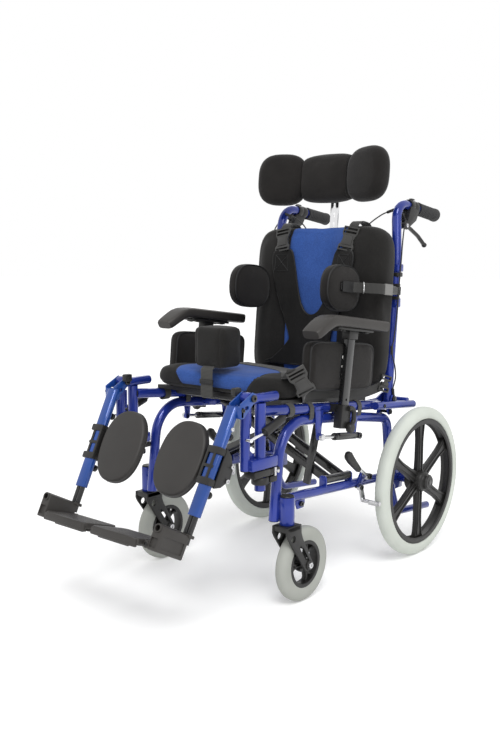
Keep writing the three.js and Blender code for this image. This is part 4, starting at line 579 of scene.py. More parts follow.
def addCastorForks():
    x, y = castor["stem"]
    axle = castor["axle"][1:]
    low, high = castor["crown"]
    inner, outer = castor["legs"]
    leg = [(-26, 193), (-27, 176), (-22, 166), (44, 76), (54, 74.5), (66, 79), (71, 90), (66, 100), (32, 158),
           (27, 172), (26, 193)]
    pieces = []
    for s in (-1, 1):
        near, far = inner * s, outer * s
        arm = plate([(y + a, b) for a, b in leg], x + min(near, far), x + max(near, far), 1.2)
        window = drum((x - 30, y - 3, 163), (x + 30, y - 3, 163), 8, 0, 24)
        slots = []
        for k in (0, 1):
            slot = [(20 + k * 9, 138 - k * 7), (25 + k * 9, 142 - k * 7), (49 + k * 7, 106 - k * 4),
                    (44 + k * 7, 102 - k * 4)]
            slots.append(plate([(y + a, b) for a, b in slot], x - 30, x + 30, 0))
        pieces.append(cutAway(arm, window, *slots))
        pieces.append(drum((x + near, *axle), (x + far + 3 * s, *axle), 12, 1, 28))
    crown = plate([(x - outer, y - 25), (x + outer, y - 25), (x + outer, y + 22), (x + 15, y + 26),
                   (x - 15, y + 26), (x - outer, y + 22)], low, high, 2.2, "z")
    stem = drum((x, y, high - 1), (x, y, high + 46), 8, 0.8)
    settlePair(joined(crown, stem, *pieces), "castorFork", "blackPlastic", "castor_fork_{}",
               stands=["castor_fork_{}"])
    heads = [boltHead((x + s * 24, *axle), (s, 0, 0), 7, 5) for s in (-1, 1)]
    settlePair(joined(*heads), "castorAxleBolt", "brightSteel", "castor_fork_{}")


addCastorWheels()
addCastorForks()
print("castors made")

# Base side frames

side = 200
tubeRadius = 12.5
lowerRail = {"front": (-318, 244.5), "rear": (164, 213.7), "radius": 11.5}
topRail = [(-310, 424.5), (-40, 400.5), (141, 373)]
tiltPivot = (128, 393)
brakePivot = (13, 243)
shoePivot = (-8, 216)
brace = {"footX": 198, "footY": (-138, -34), "rise": 24, "head": (150, 420), "bolt": 343}
tiltSpring = {"x": 226, "eye": (-37, 356), "far": (-187, 373), "radius": 9, "length": 104, "rodRadius": 4,
              "rodEnd": 21}
reclineSpring = {"x": 172, "eye": (166, 683), "far": (209, 414), "radius": 10, "length": 142,
                 "rodRadius": 4.5, "rodEnd": 108}


def heightAt(y, start, end):
    return start[1] + (end[1] - start[1]) * (y - start[0]) / (end[0] - start[0])


def lowerRailZ(y):
    return heightAt(y, lowerRail["front"], lowerRail["rear"])


def topRailZ(y):
    front, middle, rear = topRail
    return heightAt(y, front, middle) if y < middle[0] else heightAt(y, middle, rear)


def addBaseFrames():
    axle = rearAxle[1:]
    rail = [(-334, 200), *topRail, (166, 196)]
    main = bentTube([(side, *corner) for corner in rail], tubeRadius, [85, 300, 34])
    lower = bentTube([(side, *lowerRail["front"]), (side, *lowerRail["rear"])], lowerRail["radius"])
    tip = bentTube([(side, 166, 196), (side, 205, 104), (side, 372, 88)], 10, [45])
    head = turned([(9, 0), (17, 0), (17.5, 1), (17.5, 63), (17, 64), (9, 64)], (0, 0, 0), 32)
    headPlace = at(*castor["stem"], castor["head"]) @ quarter("Y", -1)
    moved(head, headPlace)
    strut = block((195, -332, 206), (222, -308, 250), 3)
    axlePlate = plate([(153.5, 170), (227.5, 170), (227.5, 230), (153.5, 230)], 196, 204, 3)
    shoulder = drum((side, *axle), (231.7, *axle), 12, 1)
    y, z = tiltPivot
    root = topRailZ(y) - 6
    tiltLug = plate([(y - 9, z), (y - 18, root), (y + 9, root), (y + 9, z), (y + 6, z + 6.5), (y, z + 9),
                     (y - 6, z + 6.5)], 183, 190, 1)
    y, z = tiltSpring["eye"]
    root = topRailZ(y)
    springLug = plate([(y - 16, root), (y - 8, z), (y - 4, z - 6.5), (y, z - 8), (y + 4, z - 6.5), (y + 8, z),
                       (y + 16, root)], 204.5, 216.5, 1)
    root = lowerRailZ(brakePivot[0])
    brakePlate = plate([(-11, root), (-16, 224), (5, 251), (21, 251), (29, root)], 207.5, 212.5, 1)
    foot = lowerRailZ(-236) - 31.5
    tab = plate([(-253, 219), (-253, 239), (-219, 237), (-219, 219), (-224, foot), (-248, foot)], 198, 202, 1)
    holders = []
    for y in (-143, -33):
        z = lowerRailZ(y)
        holders.append(plate([(187.5, z), (208.5, z), (208.5, z + 30), (203, z + 34.5), (193, z + 34.5),
                              (187.5, z + 30)], y, y + 4, 0.8, "y"))
    for y in (-152.3, -33.7):
        z = topRailZ(y)
        holders.append(plate([(140.5, 410.5), (150, z - 6), (200, z - 6), (200, z + 6), (185.5, z + 6),
                              (159.5, 424.5), (140.5, 424.5)], y, y + 14, 1, "y"))
    whole = joined(main, lower, tip, head, strut, axlePlate, shoulder, tiltLug, springLug, brakePlate, tab,
                   *holders)
    settlePair(whole, "baseFrame", "frameBlue", "base", stands=["base_frame_{}"])
    bolts = [
        boltHead((217.3, *tiltPivot), (1, 0, 0), 6.5, 4.7),
        drum((182, *tiltPivot), (218, *tiltPivot), 4, 0),
        boltHead((231, *tiltSpring["eye"]), (1, 0, 0), 8, 5),
        drum((210, *tiltSpring["eye"]), (232, *tiltSpring["eye"]), 4, 0),
        boltHead((231.3, *brakePivot), (1, 0, 0), 8, 5),
        drum((205, *brakePivot), (232, *brakePivot), 4, 0),
        boltHead((223.3, *shoePivot), (1, 0, 0), 7, 2.5),
        drum((205, *shoePivot), (224, *shoePivot), 4, 0),
        boltHead((202, -236, 219), (1, 0, 0), 6.5, 6),
        drum((231, *axle), (278, *axle), 5.9, 0.5),
    ]
    settlePair(joined(*bolts), "baseBolts", "blackSteel", "base")
    plug = drum((side, 370.5, 88.1), (side, 374, 87.8), 9, 1.2)
    footCap = drum((side, -334, 200.5), (side, -334.2, 198.2), 11.5, 1)
    headCap = turned([(0, 64), (15, 64), (16, 65.5), (14.5, 67.5), (0, 68)], (0, 0, 0), 32)
    moved(headCap, headPlace)
    settlePair(joined(plug, footCap, headCap), "tubePlugs", "blackPlastic", "base")


def bar(start, end, halfWidth, halfDepth, bevel):
    length = (end - start).length * 1000
    piece = block((-halfWidth, -halfDepth, 0), (halfWidth, halfDepth, length), bevel)
    return moved(piece, Matrix.Translation(start) @ standingOn(wayTo(start, end)))


def addBrace():
    headX, headZ = brace["head"]
    bolt = brace["bolt"]
    for name, stagger, foot in (("Front", 0, 1), ("Rear", 18, -1)):
        footX, topX = foot * brace["footX"], -foot * headX
        pieces = [
            bentTube([(footX, y, lowerRailZ(y) + brace["rise"]) for y in brace["footY"]], 10.5),
            bentTube([(topX, y, headZ) for y in brace["footY"]], 9.5),
        ]
        for k in (0, 1):
            y = -122 + stagger + k * 60
            start = mm(footX, y, lowerRailZ(y) + brace["rise"])
            pieces.append(bar(start, mm(topX, y, headZ), 11, 6.5, 1.6))
        if name == "Front":
            pieces.append(bar(mm(142, -132.5, 238), mm(174, -132.5, 397), 9.5, 4.5, 1.2))
            pieces.append(drum((0, -136, bolt), (0, -31, bolt), 4, 0.4))
            pieces.append(boltHead((0, -128.6, bolt), (0, -1, 0), 8, 5.5))
        settle(joined(*pieces), "crossBrace" + name, "blackSteel", "base",
               stands=["cross_brace_" + name.lower()])


addBaseFrames()
addBrace()
print("base frame made")

# Parking brakes


def addParkingBrakes():
    arm = plate([(8, 249), (18, 238), (-28, 262), (-40, 274), (-36, 281), (-26, 272)], 226, 231, 1)
    hub = drum((213.5, *brakePivot), (231, *brakePivot), 9, 1)
    shoeArm = plate([(-15, 213), (-1, 219), (11, 183), (-3, 177)], 218, 223, 1)
    shoeHub = drum((213.5, *shoePivot), (223, *shoePivot), 8, 1)
    shoe = drum((218, 4, 180), (272, 4, 180), 5, 1.5)
    lip = block((240, -3, 174), (272, 1, 186), 1)
    settlePair(joined(arm, hub), "brakeLeverArm", "brightSteel", "brake_lever_{}",
               stands=["brake_lever_{}"])
    settlePair(joined(shoeArm, shoeHub, shoe, lip), "brakeShoe", "brightSteel", "brake_shoe_{}",
               stands=["brake_shoe_{}"])
    grip = plate([(-27, 271), (-58, 303), (-73, 321), (-83, 324), (-92, 317), (-92, 306), (-76, 290),
                  (-37, 261)], 223, 237, 5)
    settlePair(grip, "brakeLeverGrip", "blackPlastic", "brake_lever_{}")


addParkingBrakes()

# Gas springs


def addGasSpring(name, spring):
    x, eye, far, radius, length = (spring[key] for key in ("x", "eye", "far", "radius", "length"))
    start, end = Vector((x, *eye)), Vector((x, *far))
    along = wayTo(start, end)
    pieces = [drum((x - 4, *eye), (x + 4, *eye), 8, 0.8), drum(start + along * 6, start + along * 14, 4, 0),
              drum(start + along * 10, start + along * length, radius, 1.4),
              drum(start + along * (length - 9), start + along * (length - 4), radius + 0.3, 0.4)]
    cylinder = name + "_cylinder_{}"
    settlePair(joined(*pieces), name + "SpringCylinder", "blackSteel", cylinder, stands=[cylinder])
    shaft = drum(end, start + along * spring["rodEnd"], spring["rodRadius"], 0.4)
    eyeRing = drum((x - 4, *far), (x + 4, *far), 8, 0.8)
    rod = name + "_rod_{}"
    settlePair(joined(eyeRing, shaft), name + "SpringRod", "brightSteel", rod, stands=[rod])


addGasSpring("tilt", tiltSpring)
addGasSpring("recline", reclineSpring)

# Seat rails

reclinePivot = (146, 425)
legPost = (205, -390)
seatRail = {"front": (-386, 457.4), "rear": (92, 414.8), "end": (235, 402), "endX": 223.8,
            "lug": (213.6, 217)}


def seatRailZ(y):
    return heightAt(y, seatRail["front"], seatRail["rear"])


def extensionZ(y):
    return heightAt(y, seatRail["front"], seatRail["end"])


def addSeatRails():
    endX = seatRail["endX"]
    rail = bentTube([(side, *seatRail["front"]), (side, *seatRail["rear"])], tubeRadius)
    post = bentTube([(*legPost, 283), (*legPost, 477)], tubeRadius)
    extension = bentTube([(endX, 46, extensionZ(46)), (endX, *seatRail["end"])], 10.5)
    bridge = block((200, 46, 413), (224, 88, 427), 2)
    y, z = tiltPivot
    root = extensionZ(y)
    tiltLug = plate([(y - 9, z), (y - 18, root), (y + 18, root), (y + 9, z), (y + 6, z - 6), (y, z - 9),
                     (y - 6, z - 6)], *seatRail["lug"], 0.7)
    reclinePlate = plate([(40, 403.5), (162, 403.5), (162, 425), (152.5, 440), (139.5, 440), (112, 428),
                          (40, 428)], 181.9, 186.9, 1)
    web = block((185.9, 40, 410), (193.75, 89, 422), 1)
    y, z = reclinePivot
    root = extensionZ(y)
    reclineLug = plate([(y - 13, root), (y + 13, root), (y + 13, z), (y + 9, z + 9), (y, z + 13),
                        (y - 9, z + 9), (y - 13, z)], *seatRail["lug"], 0.7)
    y, z = tiltSpring["far"]
    root = seatRailZ(y)
    springLug = plate([(y - 8, z), (y - 16, root), (y + 16, root), (y + 8, z), (y + 5, z - 6), (y, z - 8),
                       (y - 5, z - 6)], 213.5, 217.5, 0.8)
    springBoss = drum((213.5, y, z), (221.7, y, z), 8, 0.8)
    springWeb = block((200, y - 16, root - 6), (217.5, y + 16, root + 6), 1.5)
    footBoss = drum((177, *reclineSpring["far"]), (endX, *reclineSpring["far"]), 8, 0.8)
    pieces = [rail, post, extension, bridge, tiltLug, reclinePlate, web, reclineLug, springLug, springBoss,
              springWeb, footBoss]
    settlePair(joined(*pieces), "seatRail", "frameBlue", "seat_unit", stands=["seat_rail_{}"])
    bolts = [drum((181.9, *reclinePivot), (endX, *reclinePivot), 5, 0.5),
             boltHead((217, *reclinePivot), (1, 0, 0), 8, 5),
             boltHead((182, *reclinePivot), (-1, 0, 0), 7, 4),
             drum((167, *reclineSpring["far"]), (180, *reclineSpring["far"]), 4, 0.5),
             boltHead((233.6, 75, extensionZ(75)), (1, 0, 0), 5, 3)]
    settlePair(joined(*bolts), "seatRailBolts", "blackSteel", "seat_unit")
    caps = [drum((endX, 233.5, 402.1), (endX, 238, 401.7), 9.8, 1.5),
            drum((*legPost, 281.5), (*legPost, 284), 11.5, 1),
            drum((side, -386.5, 457.5), (side, -388.5, 457.6), 11, 0.8)]
    settlePair(joined(*caps), "seatRailCaps", "blackPlastic", "seat_unit")


def addArmSockets():
    body = block((-11.5, -19, -9), (11.5, 19, 47), 1.8)
    bore = block((-6.8, -14.3, -0.3), (6.8, 14.3, 60), 0.5)
    arm = block((-36, -19, 28), (0, 19, 47), 1.5)
    socket = joined(cutAway(body, copied(bore)), cutAway(arm, bore))
    settlePair(socket, "armSocket", "blackPlastic", "seat_unit", armPlace)
    hook = bentTube([(14, 2, 40), (14, 26, 42), (14, 30, 8), (14, 12, -4)], 6, [14, 12], 16)
    knob = turned([(0, 0), (11, 0), (12, 2), (12, 10), (10, 13), (0, 14)], (12, 12, -6), 24)
    settlePair(joined(hook, knob), "armLockHook", "blackPlastic", "seat_unit", armPlace)


addSeatRails()
addArmSockets()
print("seat rails made")

# Armrests

armTop = {"front": (-190, 650.3), "rear": (45, 622.5), "middle": -90, "thickness": 13.6, "x": 236}


def addArmrests():
    front, rear = armTop["front"], armTop["rear"]
    slope = math.atan2(front[1] - rear[1], rear[0] - front[0])
    post = block((-6.5, -14, 0), (6.5, 14, 226), 1.6)
    holes = [drum((-10, 0, z), (10, 0, z), 3.2, 0, 16) for z in (20, 40, 60)]
    post = cutAway(post, *holes)
    settlePair(post, "armPost", "blackSteel", "armrest_{}", armPlace, ["armrest_post_{}"])
    top = heightAt(armTop["middle"], front, rear) - armTop["thickness"]
    platePlace = drawing @ leaned(armTop["middle"], top, slope, armTop["x"])
    under = plate([(-75, -16), (-70, -20), (70, -20), (75, -16), (75, 16), (70, 20), (-70, 20), (-75, 16)],
                  -6, -0.4, 1, "z")
    moved(under, quarter("Z"))
    ribs = [block((-14, y - 3, -9), (14, y + 3, -5), 0.8) for y in (-58, 58)]
    lugs = [boltHead((x, y, -6), (0, 0, -1), 5, 4) for x in (-12, 12) for y in (-48, 48)]
    collar = block((-11, -19, -26), (11, 19, -5), 2)
    settlePair(joined(under, *ribs, *lugs, collar), "armPlate", "blackPlastic", "armrest_{}", platePlace)
    settlePair(armPad(), "armPad", "greyPlastic", "armrest_{}", stands=["armrest_pad_{}"])


def armPad():
    stations = [(46, 622.4, 0.8), (41, 623, 1), (0, 627.8, 1), (-80, 637.3, 1), (-140, 644.4, 1),
                (-166, 647.2, 1), (-184, 647, 1), (-199, 643.5, 1), (-213, 637.5, 0.98), (-230, 629, 0.95),
                (-245, 621, 0.9), (-251, 618, 0.78)]
    rings = []
    for i, (y, z, share) in enumerate(stations):
        before, after = stations[max(i - 1, 0)], stations[min(i + 1, len(stations) - 1)]
        along = Vector((0, after[0] - before[0], after[1] - before[1])).normalized()
        up = Vector((0, along.z, -along.y))
        ring = []
        for k in range(24):
            angle = 2 * math.pi * (k + 0.5) / 24
            across = softened(math.cos(angle), 0.45) * 28 * share
            rise = softened(math.sin(angle), 0.5) * 13.5 * share
            ring.append(mm(armTop["x"] + across, y, z) + up * rise / 1000)
        rings.append(ring)
    return loft(rings)


def loft(rings, closed=False):
    count = len(rings[0])
    points = [p for ring in rings for p in ring]
    faces = []
    for r in range(len(rings) - (0 if closed else 1)):
        low, high = r * count, (r + 1) % len(rings) * count
        faces += [(low + k, low + (k + 1) % count, high + (k + 1) % count, high + k) for k in range(count)]
    if not closed:
        faces += [tuple(range(count)), tuple(range(len(points) - 1, len(points) - count - 1, -1))]
    data = bpy.data.meshes.new("loft")
    data.from_pydata(points, [], faces)
    piece = bpy.data.objects.new("loft", data)
    scene.collection.objects.link(piece)
    pick(piece)
    editAll()
    return closeEdit()


addArmrests()
print("armrests made")

# Backrest frame

handle = {"knee": (174, 790), "top": (187, 186.5, 940), "end": (186, 392, 914), "lever": (218, 879),
          "side": 190.25, "grip": 100}
handleWay = wayTo(mm(*handle["top"]), mm(*handle["end"]))
handleTurn = handleWay.to_track_quat("X", "Z").to_matrix().to_4x4()


def addCanes():
    path = [(side, *caneFoot), (side, *handle["knee"]), handle["top"], handle["end"]]
    main = bentTube(path, tubeRadius, [160, 46])
    hole = drum((170, *reclinePivot), (230, *reclinePivot), 5.8, 0)
    springEye = reclineSpring["eye"]
    bracket = drum((176.3, *springEye), (side, *springEye), 8, 1)
    settlePair(joined(cutAway(main, hole), bracket), "cane", "frameBlue", "backrest", stands=["cane_{}"])
    x = handle["side"]
    body = plate([(242, 930), (284, 925), (266, 893), (224, 893)], x - 10.5, x + 10.5, 2)
    outline = [(240, 930), (224, 893), (210, 884), (206, 876), (210, 870), (220, 868), (230, 874), (266, 893),
               (286, 925)]
    cheeks = [plate(outline, x + s * 9.5 - 2.5, x + s * 9.5 + 2.5, 0.9) for s in (-1, 1)]
    pin = drum((x - 12.8, *handle["lever"]), (x + 12.8, *handle["lever"]), 4.2, 0.6)
    band = turned([(12.7, -20), (16, -20), (16.8, -18), (16.8, -2), (15.4, 0), (16.8, 2), (16.8, 18),
                   (16, 20), (12.7, 20)], (0, 0, 0), 32)
    moved(band, at(186.7, 263, 930.3) @ handleTurn)
    ear = plate([(244, 938), (252, 952), (268, 951), (278, 935)], x - 5, x + 5, 2)
    barrel = drum((x, 222, 905), (x - 2, 196, 917), 4.6, 0.8, 16)
    nut = drum((x - 2, 197, 916.6), (x - 3, 186, 921), 3.2, 0.5, 16)
    settlePair(joined(body, *cheeks, pin, band, ear, barrel, nut), "leverClamp", "blackPlastic", "backrest")
    bolts = [boltHead((x + 12, *handle["lever"]), (1, 0, 0), 5.5, 2.5),
             boltHead((x + 5, 262, 944), (1, 0, 0), 4, 3)]
    settlePair(joined(*bolts), "leverClampBolts", "brightSteel", "backrest")
    cap = drum((176, *springEye), (reclineSpring["x"], *springEye), 5, 0.6)
    settlePair(cap, "springBracketPin", "blackSteel", "backrest")
    collar = [block((186, 152, 664), (214, 178, 690), 4), block((186, 157, 757), (214.5, 187, 778), 4)]
    settlePair(joined(*collar), "caneClamps", "frameBlue", "backrest")
    clip = block((187, 158, 744), (213.5, 185, 756), 3)
    settlePair(clip, "caneClips", "blackPlastic", "backrest")


def addGrips():
    start = mm(*handle["end"]) - handleWay * handle["grip"] / 1000
    profile = [(12.8, 0), (17.2, 0), (18, 1.5)]
    for k in range(11):
        rib = 8 + k * 7.4
        profile += [(17.2, rib - 1.6), (15.9, rib - 0.8), (15.9, rib + 0.8), (17.2, rib + 1.6)]
    profile += [(17.4, 90), (18.2, 94), (18.2, 102), (16, 104.3), (0, 104.3), (0, 100.6), (12.8, 100.6)]
    grip = turned(profile, (0, 0, 0), 32)
    moved(grip, Matrix.Translation(start) @ handleTurn)
    settlePair(grip, "pushGrip", "gripRubber", "backrest", stands=["push_grip_{}"])


def addBrakeHandles():
    x = handle["side"]
    hub = drum((x - 6.7, *handle["lever"]), (x + 6.7, *handle["lever"]), 8, 1)
    shaft = bentTube([(x, *handle["lever"]), (x, 250, 874), (x, 296, 854), (x, 333, 830)], 4.6, [40, 60], 16)
    for vertex in shaft.data.vertices:
        vertex.co.x = x / 1000 + (vertex.co.x - x / 1000) * 1.35
    ball = turned([(0, -7), (4, -6), (6.4, -3), (7, 0), (6.4, 3), (4, 6), (0, 7)], (x, 333, 830), 24)
    settlePair(joined(hub, shaft, ball), "brakeHandle", "blackPlastic", "brake_handle_{}",
               stands=["brake_handle_{}"])


board = {"front": -20.8, "rear": -12.8, "half": 186, "foot": 66, "top": 428}
lateral = {"side": 149, "forward": -177, "up": 300, "height": 117, "length": 146, "pin": (221.5, -16.8)}
headrest = {"hinge": (80, -9.9), "middle": 597, "splay": 0.33, "postFront": -12.4, "postRear": -7.4}


def addBackBoard():
    front, rear, half = board["front"], board["rear"], board["half"]
    sheet = block((-half, front, board["foot"]), (half, rear, board["top"]), 3)
    bars = [drum((-188, -8, z), (188, -8, z), 9, 0.5) for z in (92, 300)]
    ears = []
    for s in (-1, 1):
        for z in (281.5, 314.5):
            ears.append(block((s * 183, front, z - 4), (s * 224, rear, z + 4), 1.2))
        pinX, pinY = lateral["pin"]
        ears.append(drum((s * pinX, pinY, 284), (s * pinX, pinY, 316), 3, 0.3, 20))
    holder = block((-20, -12.9, 400), (20, -1.5, board["top"]), 2)
    stop = block((-20, -12.9, 296.7), (20, -1.5, 309.7), 2)
    channel = block((-13.3, -12.4, 309.7), (13.3, -7.1, 432), 0.2)
    whole = joined(sheet, cutAway(holder, channel), stop, *bars, *ears)
    settle(whole, "backBoard", "blackPlastic", "backrest", backPlace, ["back_board"])
    knob = turned([(0, 0), (7, 0), (7, 4), (13, 5), (14, 7), (14, 15), (12, 17), (0, 18)], (0, 0, 0), 20)
    moved(knob, at(0, -1.5, 414) @ quarter("Z"))
    screws = [boltHead((x, rear, z), (0, 1, 0), 6, 3) for x in (-150, -60, 60, 150) for z in (120, 380)]
    settle(joined(knob, *screws), "backBoardScrews", "blackSteel", "backrest", backPlace)


addCanes()
addGrips()
addBrakeHandles()
addBackBoard()
print("backrest frame made")

# Leg rests

legPivot = (-428, 492)
hanger = {"y": -435, "top": 487.5, "foot": 334, "radius": 11}
twinTube = {"apart": 6, "radius": 10, "innerWide": 0.8, "innerDeep": 0.68}
footHinge = {"x": -22, "z": 6}


def addHangers():
    y, top = hanger["y"], hanger["top"]
    arm = bentTube([(205, -338, top), (side, y, top), (side, y, hanger["foot"])], hanger["radius"], [20])
    low = block((188, y, 332), (222, -346, 357), 4)
    bore = drum((*legPost, 320), (*legPost, 370), 13.2, 0)
    lug = drum((189, *legPivot), (211, *legPivot), 12, 1)
    web = plate([(-424, 357), (-400, 357), (-424, 380)], 198, 202, 0.8)
    settlePair(joined(arm, cutAway(low, bore), lug, web), "hanger", "frameBlue", "hanger_{}",
               stands=["hanger_{}"])
    cap = drum((205, -339, top), (205, -335.5, top), 10.4, 1.2)
    foot = drum((side, y, 335), (side, y, 331.5), 10.2, 1.2)
    settlePair(joined(cap, foot), "hangerCaps", "blackPlastic", "hanger_{}")


def addLegTubes():
    reach = legLength
    apart, radius = twinTube["apart"], twinTube["radius"]
    outline = []
    for k in range(28):
        angle = 2 * math.pi * (k + 0.5) / 28
        across = math.cos(angle)
        outline.append((math.copysign(apart, across) + radius * across, radius * math.sin(angle)))
    hollow = [(x * twinTube["innerWide"], y * twinTube["innerDeep"]) for x, y in outline]
    shell = cutAway(plate(outline, -reach, 0, 1, "z"), plate(hollow, -reach - 3, 121 - reach, 0, "z"))
    moved(shell, legPlace)
    cheeks = []
    for x in (183, 213):
        cheek = plate([(-428, 505), (-468, 484), (-468, 452), (-458, 452), (-428, 479), (-419, 483),
                       (-415, 492), (-419, 501)], x, x + 4, 1)
        window = block((x - 5, -455, 470), (x + 10, -443, 478), 1.5)
        cheeks.append(cutAway(cheek, window))
    cap = block((175, -469, 452), (217, -457, 479), 3)
    pin = drum((182, *legPivot), (218, *legPivot), 4, 0)
    head = moved(joined(cap, *cheeks, pin), drawing)
    settlePair(joined(shell, head), "legTube", "legBlue", "leg_{}", still, ["leg_tube_{}"])
    heads = [boltHead((217, *legPivot), (1, 0, 0), 8, 5), boltHead((183, *legPivot), (-1, 0, 0), 8, 4),
             boltHead((217, -462, 470), (1, 0, 0), 5, 3)]
    settlePair(joined(*heads), "legPivotBolts", "blackSteel", "leg_{}")


def addCalfMounts():
    core = block((-16.4, -10.4, -190), (16.4, 10.4, -80), 0.5)
    rings = [block((-18.8, -13.4, z), (18.8, 15, z + 16), 3) for z in (-106, -174)]
    ties = [block((-18.4, -12.4, -160), (-12, 14, -104), 1), block((2, -12.4, -160), (9, -9, -104), 1),
            block((-18.4, -12.6, -137), (12, -9, -130), 1), block((-16, 10, -160), (18.4, 15, -104), 1)]
    backing = block((-128, 14.3, -162), (0, 18.3, -102), 2)
    wing = plate([(6, -176), (26, -168), (46, -146), (44, -122), (26, -98), (6, -88)], 16.4, 20.4, 1.2)
    mount = joined(*[cutAway(part, copied(core)) for part in rings + ties], backing, wing)
    bpy.data.objects.remove(core)
    settlePair(mount, "calfMount", "blackPlastic", "leg_{}", legPlace)
    screws = [boltHead((x, 18.3, z), (0, 1, 0), 7, 4) for x in (-20, 5) for z in (-148, -116)]
    screws += [boltHead((20.4, 36, z), (1, 0, 0), 5, 5) for z in (-150, -118)]
    screws.append(boltHead((15.5, 2, -46), (1, 0, 0), 4.5, 4))
    screws.append(drum((-5, 9.6, -96), (-5, 9.6, -210), 2, 0.4, 12))
    settlePair(joined(*screws), "calfMountBolts", "brightSteel", "leg_{}", legPlace)
    knobs = []
    for z in (-60, -190):
        knobs += [drum((0, 8, z), (0, 17, z), 4, 0.5, 20), drum((0, 16, z), (0, 25, z), 8, 2, 20)]
    settlePair(joined(*knobs), "legKnobs", "blackPlastic", "leg_{}", legPlace)
    housing = [block((168, -446, 494), (181.5, -424, 512), 3), drum((166, -436, 500), (182, -436, 500), 6, 1)]
    settlePair(joined(*housing), "legLockHousing", "blackPlastic", "leg_{}")


def hingeDrum(near, far, radius, bevel):
    x, z = footHinge["x"], footHinge["z"]
    return drum((x, near, z), (x, far, z), radius, bevel)


def addFootrests():
    reach = legLength
    apart = twinTube["apart"]
    slides = [drum((s * apart, 0, -reach - 60), (s * apart, 0, 120 - reach), 5.8, 0.6) for s in (-1, 1)]
    settlePair(joined(*slides), "footSlideTubes", "blackSteel", "foot_slide_{}", legPlace, ["foot_slide_{}"])
    top, low = -reach - 41, -reach - 93
    body = block((-13, -86.6, low), (13, -2.6, top), 3)
    eye = drum((0, -89.1, top - 6.5), (0, -6, top - 6.5), 9.5, 1.2)
    hollow = drum((0, -95, top - 6.5), (0, -58, top - 6.5), 6.4, 0)
    pocket = [block((10.5, -78, low + 8), (14, -12, low + 34), 1.5),
              block((-9, -92, low + 6), (9, -82, low + 26), 1.5)]
    socket = block((-15, -9, top - 4), (15, 8.5, top + 3), 2)
    core = moved(joined(cutAway(body, *pocket, copied(hollow)), cutAway(eye, hollow)), legPlace)
    core = joined(core, moved(socket, legPlace))
    bosses = []
    for s in (-1, 1):
        near, far = s * 20, s * 42
        bosses.append(hingeDrum(near, far, 8, 1))
        bosses.append(block((footHinge["x"], min(near, far), 2), (-8, max(near, far), 10), 1))
    whole = joined(core, *[moved(boss, footPlace) for boss in bosses])
    settlePair(whole, "footBlock", "greyPlastic", "foot_slide_{}", still)
    settlePair(hingeDrum(-43, 43, 4, 0.5), "footHingePin", "blackSteel", "foot_slide_{}", footPlace)
    knuckle = hingeDrum(-19, 19, 8, 1)
    hole = hingeDrum(-60, 60, 4.7, 0)
    deck = plate([(-170, -54), (-162, -62), (-40, -62), (-31, -54), (-31, 28), (-40, 36), (-160, 36),
                  (-170, 26)], 2, 14, 2, "z")
    ribs = [block((-169, -61, -4), (-33, -53, 12), 2),
            plate([(-156, -50), (-60, -50), (-74, -30), (-146, -30)], -8, 4, 2, "z"),
            block((-160, 10, -3), (-60, 16, 6), 1.5),
            plate([(-160, -40), (-70, -40), (-60, -20), (-60, 4), (-150, 4), (-166, -20)], -5, 4, 2, "z")]
    web = block((-40, -19, 2.2), (footHinge["x"], 19, 13.8), 0.6)
    grooves = [block((-158, y - 1.4, 12.6), (-42, y + 1.4, 16), 0.4) for y in range(-48, 30, 11)]
    deck = cutAway(deck, *grooves)
    settlePair(joined(cutAway(knuckle, hole), web, deck, *ribs), "footplate", "greyPlastic", "footplate_{}",
               footPlace, ["footplate_{}"])


def addHangerLocks():
    bore = drum((*legPost, 300), (*legPost, 340), 13.2, 0)
    upper = cutAway(block((188, -427, 314), (222, -372, 331), 4), bore)
    arm = block((196, -376, 316), (221, -337, 330), 4)
    knob = turned([(13.2, -8), (18, -8), (19.5, -6), (19.5, 6), (18, 8), (13.2, 8)], (0, 0, 0), 32)
    moved(knob, at(*legPost, 305) @ quarter("Y"))
    lever = block((206, -372, 297), (220, -346, 312), 4)
    settlePair(joined(upper, arm, knob, lever), "hangerLock", "blackPlastic", "hanger_{}")
    clip = [block((214, -360, 312), (223, -353, 331.5), 1),
            drum((222, -350, 322), (226, -350, 322), 4, 0.8, 20)]
    settlePair(joined(*clip), "hangerLockClip", "brightSteel", "hanger_{}")
    rod = [drum((222, -444, 404), (222, -391, 415), 3.4, 0.4, 20),
           drum((204, -438, 402.5), (226, -444, 404), 4.4, 0.6, 20)]
    settlePair(joined(*rod), "legStrutRod", "chrome", "hanger_{}")
    sleeve = [drum((222, -396, 414), (222, -334, 437), 10.5, 2),
              drum((222, -336, 436.5), (222, -326, 440), 6, 1)]
    settlePair(joined(*sleeve), "legStrutSleeve", "blackPlastic", "hanger_{}")
    settlePair(block((194, -424, 425), (204, -418, 470), 1.5), "hangerStop", "frameBlue", "hanger_{}")


addHangerLocks()
addHangers()
addLegTubes()
addCalfMounts()
addFootrests()
print("leg rests made")

# Padded pieces, smoothed up to a wider angle than the hard ones

softEdge = 60
clothSteps = 20


def roundedOutline(width, length, squareness, drawIn, count, shift=0):
    points = []
    for i in range(count):
        angle = 2 * math.pi * (i + shift) / count
        across = softened(math.cos(angle), 2 / squareness)
        along = softened(math.sin(angle), 2 / squareness)
        points.append((across * (width / 2 - drawIn * (1 - along * along)),
                       along * (length / 2 - drawIn * (1 - across * across))))
    return points


